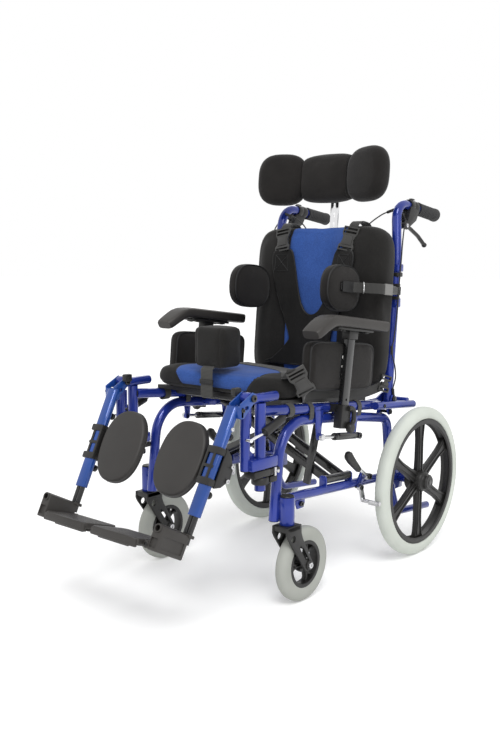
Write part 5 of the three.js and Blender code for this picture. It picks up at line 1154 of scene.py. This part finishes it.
def padForm(width, length, thickness, crown, edge, squareness, drawIn=0, around=96):
    depth = min(edge, thickness / 2)
    outline = roundedOutline(width, length, squareness, drawIn, around, 0.5)

    def ring(inset, z):
        return [mm(x * (1 - 2 * inset / width), y * (1 - 2 * inset / length), z) for x, y in outline]

    rings = []
    for k in range(9):
        share = (k + 0.6) / 9.6
        z = thickness / 2 + crown * (1 - share ** 2.4)
        rings.append([mm(x * share * (1 - 2 * edge / width), y * share * (1 - 2 * edge / length), -z)
                      for x, y in outline])
    for k in range(7):
        turn = math.pi / 2 * k / 6
        rings.append(ring(edge * (1 - math.sin(turn)), -(thickness / 2 - depth * (1 - math.cos(turn)))))
    top = [[Vector((p.x, p.y, -p.z)) for p in under] for under in reversed(rings)]
    if depth >= thickness / 2:
        top = top[1:]
    return loft(rings + top)


def remeshed(piece, voxel, smoothing):
    form = copied(piece)
    pick(piece)
    piece.data.remesh_voxel_size = voxel / 1000
    bpy.ops.object.voxel_remesh()
    wrap = piece.modifiers.new("wrap", "SHRINKWRAP")
    wrap.target = form
    applied(piece, wrap)
    bpy.data.objects.remove(form)
    relax = piece.modifiers.new("relax", "SMOOTH")
    relax.iterations = smoothing
    return applied(piece, relax)


def puffed(piece, cap, pressure):
    rimHold = 0.8  # the rim keeps most of its size
    rest = [(v.co.copy(), v.normal.copy()) for v in piece.data.vertices]
    pick(piece)
    cloth = piece.modifiers.new("puff", "CLOTH")
    cloth.settings.use_pressure = True
    cloth.settings.uniform_pressure_force = pressure
    cloth.settings.effector_weights.gravity = 0
    for step in range(1, clothSteps + 1):
        scene.frame_set(step)
    shape = piece.evaluated_get(bpy.context.evaluated_depsgraph_get()).data
    swelled = [v.co.copy() for v in shape.vertices]
    piece.modifiers.remove(cloth)
    for vertex, (start, out), end in zip(piece.data.vertices, rest, swelled):
        way = end - start
        way -= out * min(0, way.dot(out)) * rimHold
        if way.length > cap / 1000:
            way = way.normalized() * cap / 1000
        vertex.co = start + way
    scene.frame_set(1)
    return piece


def refined(piece):
    finer = piece.modifiers.new("finer", "SUBSURF")
    finer.levels = 1
    return applied(piece, finer)


def cushioned(piece, voxel, smoothing, cap, pressure=4):
    return refined(puffed(remeshed(piece, voxel, smoothing), cap, pressure))


def reshaped(piece, change):
    for vertex in piece.data.vertices:
        vertex.co = change(vertex.co * 1000) / 1000
    piece.data.update()
    return piece


def seamCut(piece, place, normal):
    pick(piece)
    editAll()
    bpy.ops.mesh.bisect(plane_co=mm(*place), plane_no=normal)
    bpy.ops.object.mode_set(mode="OBJECT")


def smoothStep(value, low, high):
    share = min(1, max(0, (value - low) / (high - low)))
    return share * share * (3 - 2 * share)


def groove(distance, width=4, depth=2.2):
    return depth * math.exp(-((distance / width) ** 2))


def paintPanel(piece, rest, panel, inside):
    piece.data.materials.clear()
    piece.data.materials.append(looks[rest])
    piece.data.materials.append(looks[panel])
    for face in piece.data.polygons:
        face.material_index = 1 if inside(face.center * 1000) else 0


def settleCushion(piece, name, body, place, node):
    settle(piece, name, None, body, place, [node], softEdge)
    return piece


seat = {"size": (386, 388, 47), "crown": 7, "edge": 21, "middle": (0, -2, 47.1), "floor": 22.1,
        "panelFoot": 104, "panelTop": 134, "panelHalf": 119, "panelZ": 54, "bandTop": 33}


def addSeatCushion():
    piece = padForm(*seat["size"], seat["crown"], seat["edge"], 9, 4)
    piece = cushioned(moved(piece, at(*seat["middle"])), 6, 4, 6)
    half, middle = seat["panelHalf"], seat["panelZ"]
    tilt = (seat["panelTop"] - seat["panelFoot"]) / 40
    for s in (-1, 1):
        seamCut(piece, (s * half, 0, middle), Vector((s, 0, -tilt)).normalized())
    seamCut(piece, (0, 0, seat["bandTop"]), (0, 0, 1))

    def shape(p):
        edge = half + tilt * (p.z - middle)
        near = abs(abs(p.x) - edge) / math.hypot(1, tilt)
        top = smoothStep(p.z, 50, 66)
        dip = groove(near) * (1 if p.z > seat["bandTop"] else 0)
        p.z -= dip * top
        if p.y < -150:
            p.y += dip * (1 - top)
            p.y += groove(p.z - seat["bandTop"], 3, 2)
        reach = abs(p.x)
        swell = smoothStep(reach, 125, 160) * (1 - smoothStep(reach, 165, 190))
        p.z += top * 2.5 * (swell - 1 + smoothStep(reach, 60, 125))
        p.z = max(p.z, seat["floor"])
        p.x += math.copysign(16, p.x) * smoothStep(reach, 120, 190) * (1 - smoothStep(p.y, -130, -90))
        return p

    reshaped(piece, shape)
    paintPanel(piece, "blackMesh", "blueMesh",
               lambda c: abs(c.x) < half + tilt * (c.z - middle) and c.z > seat["bandTop"])
    return settleCushion(piece, "seatCushion", "seat_unit", seatPlace, "seat_cushion")


back = {"size": (438, 434, 58), "crown": 6, "edge": 24, "middle": (0, -52.1, 253), "rear": -21.1, "panel": 87,
        "swell": 6, "hollow": 9, "armZ": 300, "armX": 216}


def addBackCushion():
    piece = padForm(*back["size"], back["crown"], back["edge"], 7, 3)
    piece = cushioned(moved(piece, at(*back["middle"]) @ quarter("X")), 6, 4, 7)
    for s in (-1, 1):
        seamCut(piece, (s * back["panel"], 0, 0), (1, 0, 0))

    def shape(p):
        front = smoothStep(-p.y, 55, 80)
        reach = abs(p.x)
        swell = back["swell"] * smoothStep(reach, back["panel"], 140) * (1 - smoothStep(reach, 165, 210))
        hollow = back["hollow"] * (1 - smoothStep(reach, back["panel"] - 45, back["panel"] + 8))
        p.y -= front * (swell - hollow)
        dip = groove(reach - back["panel"])
        p.y += dip * front
        if p.z > 440:
            p.z -= dip * (1 - front)
        wrap = smoothStep(reach, 184, 196)
        if p.y > -52:
            p.y += (p.y + 52) * 0.34 * wrap
        p.y = min(p.y, back["rear"] + 7 * wrap)
        arm = 1 - smoothStep(abs(p.z - back["armZ"]), 22, 34)
        if reach > back["armX"]:
            p.x = math.copysign(back["armX"] + (reach - back["armX"]) * (1 - arm), p.x)
        return p

    reshaped(piece, shape)
    paintPanel(piece, "blackMesh", "blueMesh",
               lambda c: abs(c.x) < back["panel"] and (c.y < -40 or c.z > 450))
    return settleCushion(piece, "backCushion", "backrest", backPlace, "back_cushion")


seatCushion = addSeatCushion()
backCushion = addBackCushion()
print("cushions made")


def ringPath(width, length, squareness, drawIn, z, count=96):
    return [Vector((x, y, z)) for x, y in roundedOutline(width, length, squareness, drawIn, count)]


def pipe(points, radius, closed=True, sides=8):
    rings = []
    count = len(points)
    for i, point in enumerate(points):
        before = points[i - 1] if closed or i else point
        after = points[(i + 1) % count] if closed or i < count - 1 else point
        along = wayTo(before, after)
        flat = along.cross(Vector((0.13, 0.21, 0.97))).normalized()
        up = flat.cross(along)
        turns = [2 * math.pi * k / sides for k in range(sides)]
        rings.append([(point + (flat * math.cos(a) + up * math.sin(a)) * radius) / 1000 for a in turns])
    return loft(rings, closed)


hip = {"middle": (-105, 534), "x": 214.2, "size": (120, 274), "thickness": 23, "most": 15, "inset": 5.5}


def addHipPads():
    place = drawing @ leaned(*hip["middle"], seatLean, hip["x"]) @ quarter("Y")
    pad = cushioned(padForm(*hip["size"], hip["thickness"], 2.5, 5, 7, 1.5), 5, 3, 3, 3)
    most = hip["most"]
    reshaped(pad, lambda p: Vector((p.x, p.y, max(-most, min(most, p.z)))))
    for half in settlePair(pad, "hipPad", "sideCloth", "armrest_{}", place, ["hip_pad_{}"], softEdge):
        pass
    height, length = (whole - hip["inset"] for whole in hip["size"])
    edges = [pipe(ringPath(height, length, 6.2, 1.8, z), 2.2) for z in (-10.6, 10.6)]
    settlePair(joined(*edges), "hipPadPiping", "piping", "armrest_{}", place)
    bolts = [boltHead((x, -7, 14.5), (0, 0, 1), 5, 2.5) for x in (-22, 0, 20)]
    settlePair(joined(*bolts), "hipPadBolts", "whitePlastic", "armrest_{}", place)
    backing = block((-30, -19, 13.6), (30, 5, 15.6), 0.8)
    settlePair(backing, "hipPadPlate", "blackSteel", "armrest_{}", place)


pommel = {"middle": (0, -303, 581), "size": (100, 99, 70), "seam": 36}


def addPommel():
    pad = padForm(*pommel["size"], 3, 11, 6.5, 2, 72)
    pad = cushioned(moved(pad, at(*pommel["middle"]) @ quarter("X")), 5, 6, 4)
    middle = pommel["middle"][1]
    for s in (-1, 1):
        seamCut(pad, (s * pommel["seam"], 0, 0), (1, 0, 0))

    def shape(p):
        if abs(p.y - middle) > 25:
            p.y += groove(abs(p.x) - pommel["seam"], 2.5, 1.4) * (1 if p.y < middle else -1)
        return p

    reshaped(pad, shape)
    settle(pad, "pommelPad", "blackMesh", "seat_unit", stands=["pommel"], smooth=softEdge)
    path = smoothPath([(0, -332, 536), (0, -340, 530), (0, -341.5, 520), (0, -341.5, 490), (0, -341.5, 472),
                       (0, -340, 463), (0, -332, 460.5), (0, -316, 459.5)], 5)
    strap = strapForm(path, Vector((1, 0, 0)), 38, 2.4)
    settle(strap, "pommelStrap", "strapGrey", "seat_unit")
    clip = block((-21, -345, 494), (21, -340.4, 506), 1.4)
    settle(clip, "pommelStrapSlide", "blackPlastic", "seat_unit")


calf = {"size": (130, 170), "squareness": 2.35, "middle": (-92, 0, -133)}


def addCalfPads():
    place = legPlace @ at(*calf["middle"]) @ quarter("X")
    pad = padForm(*calf["size"], 21, 3, 6.5, calf["squareness"])
    for half in settlePair(pad, "calfPad", "calfVinyl", "leg_{}", place, ["calf_pad_{}"], 50):
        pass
    seam = pipe(ringPath(*calf["size"], calf["squareness"], 0, -4), 0.9)
    settlePair(seam, "calfPadSeam", "piping", "leg_{}", place)


def addLateralPads():
    up = lateral["up"]
    upward = Vector((0, 0, 1))
    place = backPlace @ at(lateral["side"], lateral["forward"], up - 4) @ quarter("Y")
    pad = cushioned(padForm(lateral["height"], lateral["length"], 26, 3.5, 9, 2.6, 0, 84), 4, 4, 4, 3)
    for half in settlePair(pad, "lateralPad", "sideCloth", "lateral_pad_{}", place, ["lateral_pad_{}"],
                           softEdge):
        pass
    height, length = lateral["height"] - 5, lateral["length"] - 5
    edges = [pipe(ringPath(height, length, 2.55, 0, z, 84), 2) for z in (-10.4, 10.4)]
    settlePair(joined(*edges), "lateralPiping", "piping", "lateral_pad_{}", place)
    path = smoothPath([(221.5, -23, up), (221.5, -60, up), (221, -88, up), (217, -101, up), (206, -113, up),
                       (184, -133, up), (170, -146, up), (167.2, -165, up), (167, -203, up)], 6)
    arm = strapForm(path, upward, 22, 5)
    knuckle = drum((*lateral["pin"], up - 10.5), (*lateral["pin"], up + 10.5), 6, 0.6)
    settlePair(joined(arm, knuckle), "lateralArm", "blackSteel", "lateral_pad_{}", backPlace)
    sleeve = [p + Vector((3.2 if p.y > -130 else 2.6, 0, 0)) for p in path[6:-4]]
    settlePair(strapForm(sleeve, upward, 26, 2), "lateralStrap", "webbing", "lateral_pad_{}", backPlace)
    turns = [2 * math.pi * k / 24 for k in range(24)]
    ring = [Vector((188 - 6 * math.cos(a), -134 + 5 * math.cos(a), up + 15 * math.sin(a))) for a in turns]
    settlePair(pipe(ring, 1.4), "lateralRing", "chrome", "lateral_pad_{}", backPlace)
    patch = [Vector((170.6, y, up)) for y in (-148, -165, -182, -199)]
    settlePair(strapForm(patch, upward, 28, 1.8), "lateralPatch", "piping", "lateral_pad_{}", backPlace)
    keeper = [Vector((x, y, up)) for x, y in
              ((222, -54), (225.9, -54.2), (225.9, -70), (225.9, -89), (222, -89.4))]
    settlePair(strapForm(keeper, upward, 28, 1.6), "lateralKeeper", "keeperGrey", "lateral_pad_{}", backPlace)


def curveAt(a, b, c, d, t):
    return 0.5 * (2 * b + (c - a) * t + (2 * a - 5 * b + 4 * c - d) * t * t
                  + (3 * b - a - 3 * c + d) * t ** 3)


def smoothPath(points, steps):
    places = [Vector(p) for p in points]
    path = []
    for i in range(len(places) - 1):
        a = places[max(i - 1, 0)]
        b, c = places[i], places[i + 1]
        d = places[min(i + 2, len(places) - 1)]
        path += [curveAt(a, b, c, d, k / steps) for k in range(steps)]
    return path + [places[-1]]


def smoothLoop(points, steps):
    places = [Vector(p) for p in points]
    count = len(places)
    loop = []
    for i in range(count):
        near = [places[(i + k) % count] for k in (-1, 0, 1, 2)]
        loop += [tuple(curveAt(*near, k / steps)) for k in range(steps)]
    return loop


def strapForm(points, across, width, thickness):
    ways = across if isinstance(across, list) else [across] * len(points)
    half, edge, thin = width / 2, min(thickness * 0.6, width / 6), thickness / 2
    section = [(-half, 0), (edge - half, -thin), (0, -thin), (half - edge, -thin), (half, 0),
               (half - edge, thin), (0, thin), (edge - half, thin)]
    rings, run, runs = [], 0, []
    for i, (point, way) in enumerate(zip(points, ways)):
        along = wayTo(points[max(i - 1, 0)], points[min(i + 1, len(points) - 1)])
        flat = (way - along * way.dot(along)).normalized()
        out = along.cross(flat)
        if i:
            run += (point - points[i - 1]).length
        runs.append(run)
        rings.append([(point + flat * a + out * b) / 1000 for a, b in section])
    strap = loft(rings)
    mapAlong(strap, rings, runs, width)
    return strap


def mapAlong(piece, rings, runs, width):
    layer = piece.data.uv_layers.new(name="run")
    find = {}
    for ring, run in zip(rings, runs):
        for k, point in enumerate(ring):
            find[tuple(round(c, 6) for c in point)] = (k / len(ring) * width / 500, run / 1000)
    for loop in piece.data.loops:
        key = tuple(round(c, 6) for c in piece.data.vertices[loop.vertex_index].co)
        layer.data[loop.index].uv = find.get(key, (0, 0))


def capped(piece, place, normal):
    pick(piece)
    editAll()
    bpy.ops.mesh.bisect(plane_co=mm(*place), plane_no=normal, clear_inner=True, use_fill=True)
    bpy.ops.object.mode_set(mode="OBJECT")


def addHeadrest():
    pin = headrest["hinge"]
    hinge = at(*pin, headrest["middle"]) @ Matrix.Rotation(-headrest["splay"], 4, "Z")
    wing = padForm(143, 142, 54, 3, 25, 2.9)
    wing = moved(cushioned(moved(wing, at(76, -38, 0) @ quarter("X")), 5, 5, 3), hinge)
    capped(wing, (73.4, 0, 0), (1, 0, 0))
    for half in settlePair(wing, "headWing", "sideCloth", "headrest_wing_{}", backPlace, ["headrest_wing_{}"],
                           softEdge):
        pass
    knuckle = drum((*pin, 580), (*pin, 614), 5, 0.6)
    settlePair(knuckle, "headWingHinge", "blackSteel", "headrest_wing_{}", backPlace)
    centre = padForm(190, 128, 60, 3, 26, 4)
    centre = cushioned(moved(centre, at(0, -45.7, headrest["middle"]) @ quarter("X")), 5, 8, 3)
    for s in (-1, 1):
        capped(centre, (s * 72, 0, 0), (-s, 0, 0))
    reshaped(centre, lambda p: Vector((p.x, min(p.y, -12.7), p.z)))
    settle(centre, "headCentre", "sideCloth", "headrest", backPlace, ["headrest_centre"], softEdge)
    front, rear = headrest["postFront"], headrest["postRear"]
    post = block((-13, front, 310), (13, rear, 638), 1)
    slots = [block((-3, -20, z), (3, 0, z + 14), 2.8) for z in range(444, 530, 26)]
    carriers = [block((-82.5, front, z - 6), (82.5, rear, z + 6), 1) for z in (574, 620)]
    pins = [drum((s * pin[0], pin[1], 566), (s * pin[0], pin[1], 628), 2.5, 0.3, 16) for s in (-1, 1)]
    settle(joined(cutAway(post, *slots), *carriers, *pins), "headPost", "chrome", "headrest", backPlace,
           ["headrest_post"])


addHipPads()
addPommel()
addCalfPads()
addLateralPads()
addHeadrest()
print("pads and headrest made")

# Chest harness, draped over the back cushion

harness = {"lift": 1.4, "thickness": 8.5, "step": 9, "pipe": 2.5,
           "half": [(126, 90), (118, 100), (92, 124), (68, 153), (68, 172), (80, 206), (97, 245), (113, 290),
                    (124, 330), (131, 366), (130, 388), (120, 399), (98, 402), (80, 401), (72, 392),
                    (66, 370), (60, 345), (54, 315), (47, 285), (38, 258), (24, 236), (8, 226)]}


def frontOf(x, z):
    into = backPlace.to_3x3() @ Vector((0, 1, 0))
    depths = []
    for dx, dz in ((0, 0), (6, 0), (-6, 0), (0, 6), (0, -6)):
        start = backPlace @ mm(x + dx, -140, z + dz)
        found, place, normal, _ = backCushion.ray_cast(start, into)
        if found:
            depths.append((backPlace.inverted() @ place).y * 1000)
    if not depths:
        return -60
    return min(depths[0] - 0.8, sum(depths) / len(depths))


def drapedPoint(x, z, lift):
    return Vector((x, frontOf(x, z) - lift, z))


def addHarness():
    half = [Vector((x, 0, z)) for x, z in harness["half"]]
    outline = half + [Vector((-p.x, 0, p.z)) for p in reversed(half)]
    clearAll()
    bpy.ops.mesh.primitive_circle_add(vertices=len(outline), radius=1, fill_type="NGON")
    vest = bpy.context.object
    for vertex, place in zip(vest.data.vertices, outline):
        vertex.co = place / 1000
    editAll()
    bpy.ops.mesh.quads_convert_to_tris(ngon_method="BEAUTY")
    for k in range(-14, 15):
        bpy.ops.mesh.select_all(action="SELECT")
        bpy.ops.mesh.bisect(plane_co=mm(k * harness["step"] + 0.5, 0, 0), plane_no=(1, 0, 0))
    for k in range(10, 45):
        bpy.ops.mesh.select_all(action="SELECT")
        bpy.ops.mesh.bisect(plane_co=mm(0, 0, k * harness["step"] + 0.5), plane_no=(0, 0, 1))
    bpy.ops.mesh.select_all(action="SELECT")
    bpy.ops.mesh.remove_doubles(threshold=0.0008)
    bpy.ops.object.mode_set(mode="OBJECT")
    reshaped(vest, lambda p: drapedPoint(p.x, p.z, harness["lift"]))
    pick(vest)
    editAll()
    bpy.ops.mesh.normals_make_consistent(inside=False)
    bpy.ops.object.mode_set(mode="OBJECT")
    forward = sum(face.normal.y * face.area for face in vest.data.polygons)
    wall = vest.modifiers.new("wall", "SOLIDIFY")
    wall.thickness = harness["thickness"] / 1000
    wall.offset = 1 if forward < 0 else -1
    applied(vest, wall)
    settle(vest, "chestHarness", "harnessCloth", "backrest", backPlace, ["chest_harness"], softEdge)
    edge = smoothLoop([(p.x, p.z) for p in outline], 4)
    lift = harness["lift"] + harness["thickness"] * 0.55
    rim = pipe([drapedPoint(x, z, lift) for x, z in edge], harness["pipe"])
    settle(rim, "harnessPiping", "piping", "backrest", backPlace)
    stitches = []
    lift = harness["lift"] + harness["thickness"] + 0.2
    for s in (-1, 1):
        corners = [(s * 80, 343), (s * 84, 386), (s * 120, 386), (s * 122, 343)]
        for a, b in ((0, 1), (1, 2), (2, 3), (3, 0), (0, 2), (1, 3)):
            start, end = Vector(corners[a]), Vector(corners[b])
            run = [start.lerp(end, t / 8) for t in range(9)]
            stitches.append(pipe([drapedPoint(*place, lift) for place in run], 0.9, False, 6))
    settle(joined(*stitches), "harnessStitches", "piping", "backrest", backPlace)


def buckle(width, length, depth):
    w, l = width / 2, length / 2
    right = [(w, -l), (w, -l + 14), (w - 5, -l + 20), (w - 6, 4), (w - 2, 10), (w, 16), (w, l)]
    outline = [(-w, -l), *right, *[(-x, y) for x, y in right[:0:-1]]]
    body = plate(outline, -depth / 2, depth / 2, 1.6, "z")
    slots = [block((4 - w, b, -20), (w - 4, b + 5.5, 20), 0.6) for b in (-l + 4, l - 9.5, l - 19)]
    shoulder = plate([(-w + 9, -l + 16), (w - 9, -l + 16), (w - 11, 8), (11 - w, 8)], depth / 2 - 1,
                     depth / 2 + 2, 1, "z")
    notch = [drum((s * (w - 1), -3, -20), (s * (w - 1), -3, 20), 6, 0, 24) for s in (-1, 1)]
    return joined(cutAway(body, *slots, *notch), shoulder)


def framed(x, y, z, along, face):
    up = Vector(along).normalized()
    out = (Vector(face) - up * up.dot(Vector(face))).normalized()
    turn = Matrix((up.cross(out), up, out)).transposed().to_4x4()
    return at(x, y, z) @ turn


def addShoulderStraps():
    low, high = 404, 456
    top = frontOf(113, high)
    bottom = frontOf(104, low)
    middle = (top + bottom) / 2
    place = backPlace @ framed(108.5, middle - 7.5, 428, (9, top - bottom, high - low), (0, -1, 0))
    clasp = buckle(48, 66, 7)
    settlePair(clasp, "shoulderBuckle", "buckleGrey", "backrest", place)
    over = [(104, bottom - 4, low - 24), (105, bottom - 3.5, low - 4), (107, middle - 3, 425),
            (111, top - 3, 450), (113, top + 3, 467), (114, -66, 476), (115, -46, 476.5), (116, -30, 473),
            (116, -18, 462), (116, -14, 448), (116, -10.6, 432), (116, -10.4, 400), (116, -6, 350),
            (116, 2.2, 310), (116, 3.2, 298), (116, -3, 289.5)]
    strap = strapForm(smoothPath(over, 6), Vector((1, 0, 0)), 30, 2)
    settlePair(strap, "shoulderStrap", "webbing", "backrest", backPlace)


addHarness()
addShoulderStraps()
print("harness made")

# Pelvic belt across the seat, with its buckle over the near edge


def seatTop(x, y):
    down = seatPlace.to_3x3() @ Vector((0, 0, -1))
    start = seatPlace @ mm(x, y, 160)
    found, place, normal, _ = seatCushion.ray_cast(start, down)
    if not found:
        return 72
    return (seatPlace.inverted() @ place).z * 1000


def addPelvicBelt():
    across = [(-196, 150), (-180, 118), (-150, 86), (-100, 56), (-50, 34), (0, 12), (50, -12), (96, -42),
              (136, -78), (160, -104), (178, -122)]
    fromSeat = drawing.inverted() @ seatPlace
    points = [fromSeat @ mm(x, y, max(seatTop(x, y), seatTop(x + 8, y), seatTop(x - 8, y)) + 2.4) * 1000
              for x, y in across]
    points += [Vector(p) for p in ((197, -278, 519), (213, -291, 530), (227, -300, 539), (231, -303, 546))]
    points = smoothPath(points, 6)
    ways = [Vector((0.45, 0.9, 0)) for _ in points]
    settle(strapForm(points, ways, 38, 1.8), "beltStrapFar", "webbing", "seat_unit")
    place = drawing @ framed(231, -280, 516, (0, -46, 55), (0.594, -0.793, 0.134))
    settle(buckle(46, 72, 10), "beltBuckle", "buckleGrey", "seat_unit", place)
    near = smoothPath([(231, -262, 490), (228, -256, 483), (220, -249, 477), (208, -240, 472),
                       (199.5, -222, 469), (198.5, -190, 468), (198.5, -120, 464), (198.5, -40, 458),
                       (198.5, 30, 452), (202, 70, 456), (210, 100, 464)], 5)
    rise = Vector((0, 0.1, 1))
    start = Vector((0.5, 0.46, 0.4))
    ways = [start.lerp(rise, min(1, k / 16)) for k in range(len(near))]
    settle(strapForm(near, ways, 24, 1.8), "beltStrapNear", "webbing", "seat_unit")
    place = drawing @ framed(215, 104, 470, (0.1, 0.3, 1), (1, -0.4, 0))
    settle(buckle(34, 44, 7), "beltSlide", "buckleGrey", "seat_unit", place)


addPelvicBelt()

# Brake cables, fastened along the canes

cableRadius = 1.8


def addCables():
    upper = smoothPath([(186, 187, 921), (165, 186, 915), (140, 184, 905), (105, 180, 880), (95, 176, 850),
                        (110, 172, 790), (150, 168, 730), (170, 166, 702), (173, 166, 692)], 5)
    ferrule = drum((184, 187, 920.4), (160, 186, 913), 4, 1, 16)
    cable = joined(pipe(upper, cableRadius, False), ferrule)
    settlePair(cable, "brakeCableUpper", "blackPlastic", "backrest")
    lower = smoothPath([(193, 198, 915), (214, 190, 890), (217, 178, 868), (217, 172, 831), (217, 168, 790),
                        (217, 160, 720), (217, 152, 640), (217, 140, 580)], 4)
    settlePair(pipe(lower, cableRadius, False), "brakeCableCane", "blackPlastic", "backrest")
    for half, s in (("Left", 1), ("Right", -1)):
        low = smoothPath([(s * 217, 140, 580), (s * 216, 134, 550), (s * 218, 148, 510), (s * 218, 152, 480),
                          (s * 216, 143, 450), (s * 216, 146, 436)], 6)
        tips = [drum((s * 216, 133, 566), (s * 216, 134, 544), 3.6, 0.8, 16),
                drum((s * 216, 144, 452), (s * 216, 147, 432), 3.8, 0.8, 16)]
        cable = joined(pipe(low, cableRadius, False), *tips)
        settle(cable, "brakeCableLow" + half, "blackPlastic", None)
        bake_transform(cable)


addCables()

# Loops round the seat rails


def addRailLoops():
    loopRadius = 14.4
    for name, y, width, drop in (("A", -286, 20, 2), ("B", -212, 17, 16), ("C", -10, 17, 14)):
        points = []
        for k in range(28):
            across, rise = math.cos(2 * math.pi * k / 28), math.sin(2 * math.pi * k / 28)
            points.append(Vector((side + loopRadius * across, y - max(0, -rise) * drop * 0.2,
                                  seatRailZ(y) + loopRadius * rise - (drop if rise < -0.2 else 0))))
        band = strapForm(points + [points[0]], Vector((0, 1, 0)), width, 2.2)
        settlePair(band, "railLoop" + name, "strapGrey", "seat_unit")


addRailLoops()
print("belt and loops made")

# Floor, world and lights

studio = {"floor": (0.86, 0.86, 0.86), "lift": 0.2, "world": 0.62, "sun": 1.25, "sunSpread": 24}


def addFloor():
    clearAll()
    bpy.ops.mesh.primitive_plane_add(size=80)
    floor = bpy.context.object
    floor.name = "floor"
    material, tree, shader = newMaterial("floorPale")
    shader.inputs["Base Color"].default_value = (*studio["floor"], 1)
    shader.inputs["Roughness"].default_value = 0.95
    shader.inputs["Specular IOR Level"].default_value = 0.1
    seen = seenShare(tree)
    lift = tree.nodes.new("ShaderNodeEmission")
    gain = tree.nodes.new("ShaderNodeMath")
    gain.operation = "MULTIPLY"
    gain.inputs[1].default_value = studio["lift"]
    link(tree, seen, "Value", gain, 0)
    link(tree, gain, "Value", lift, "Strength")
    both = tree.nodes.new("ShaderNodeAddShader")
    link(tree, shader, "BSDF", both, 0)
    link(tree, lift, "Emission", both, 1)
    link(tree, both, "Shader", tree.nodes["Material Output"], "Surface")
    floor.data.materials.append(material)


def seenShare(tree):
    path = tree.nodes.new("ShaderNodeLightPath")
    share = tree.nodes.new("ShaderNodeMath")
    share.operation = "MAXIMUM"
    share.inputs[1].default_value = 0.5  # the share for bounced light
    link(tree, path, "Is Camera Ray", share, 0)
    for ray in ("Is Glossy Ray", "Is Transmission Ray"):
        more = tree.nodes.new("ShaderNodeMath")
        more.operation = "MAXIMUM"
        link(tree, share, "Value", more, 0)
        link(tree, path, ray, more, 1)
        share = more
    return share


def addWorld():
    world = bpy.data.worlds.new("studioWorld")
    scene.world = world
    world.use_nodes = True
    tree = world.node_tree
    background = tree.nodes["Background"]
    background.inputs["Color"].default_value = (1, 1, 1, 1)
    span = tree.nodes.new("ShaderNodeMapRange")
    span.inputs["To Min"].default_value = studio["world"]
    span.inputs["To Max"].default_value = 1
    link(tree, seenShare(tree), "Value", span, "Value")
    link(tree, span, "Result", background, "Strength")


def addLights():
    clearAll()
    bpy.ops.object.light_add(type="SUN", rotation=(math.radians(34), math.radians(8), math.radians(28)))
    sun = bpy.context.object
    sun.name = "studioSun"
    sun.data.energy = studio["sun"]
    sun.data.angle = math.radians(studio["sunSpread"])
    for name, place, turn, size, energy in (("sideBox", (2.6, -1.2, 1.9), (62, 0, 66), 1.4, 16),
                                            ("rearBox", (-1.6, 2.4, 2.3), (-52, 0, 34), 1.6, 14)):
        bpy.ops.object.light_add(type="AREA", location=place, rotation=[math.radians(a) for a in turn])
        lamp = bpy.context.object
        lamp.name = name
        lamp.data.size = size
        lamp.data.energy = energy


addFloor()
addWorld()
addLights()
scene.view_settings.view_transform = "Standard"
print("floor and lights made")

nodes["seat_pan"].data.materials.clear()
nodes["seat_pan"].data.materials.append(looks["blackPlastic"])
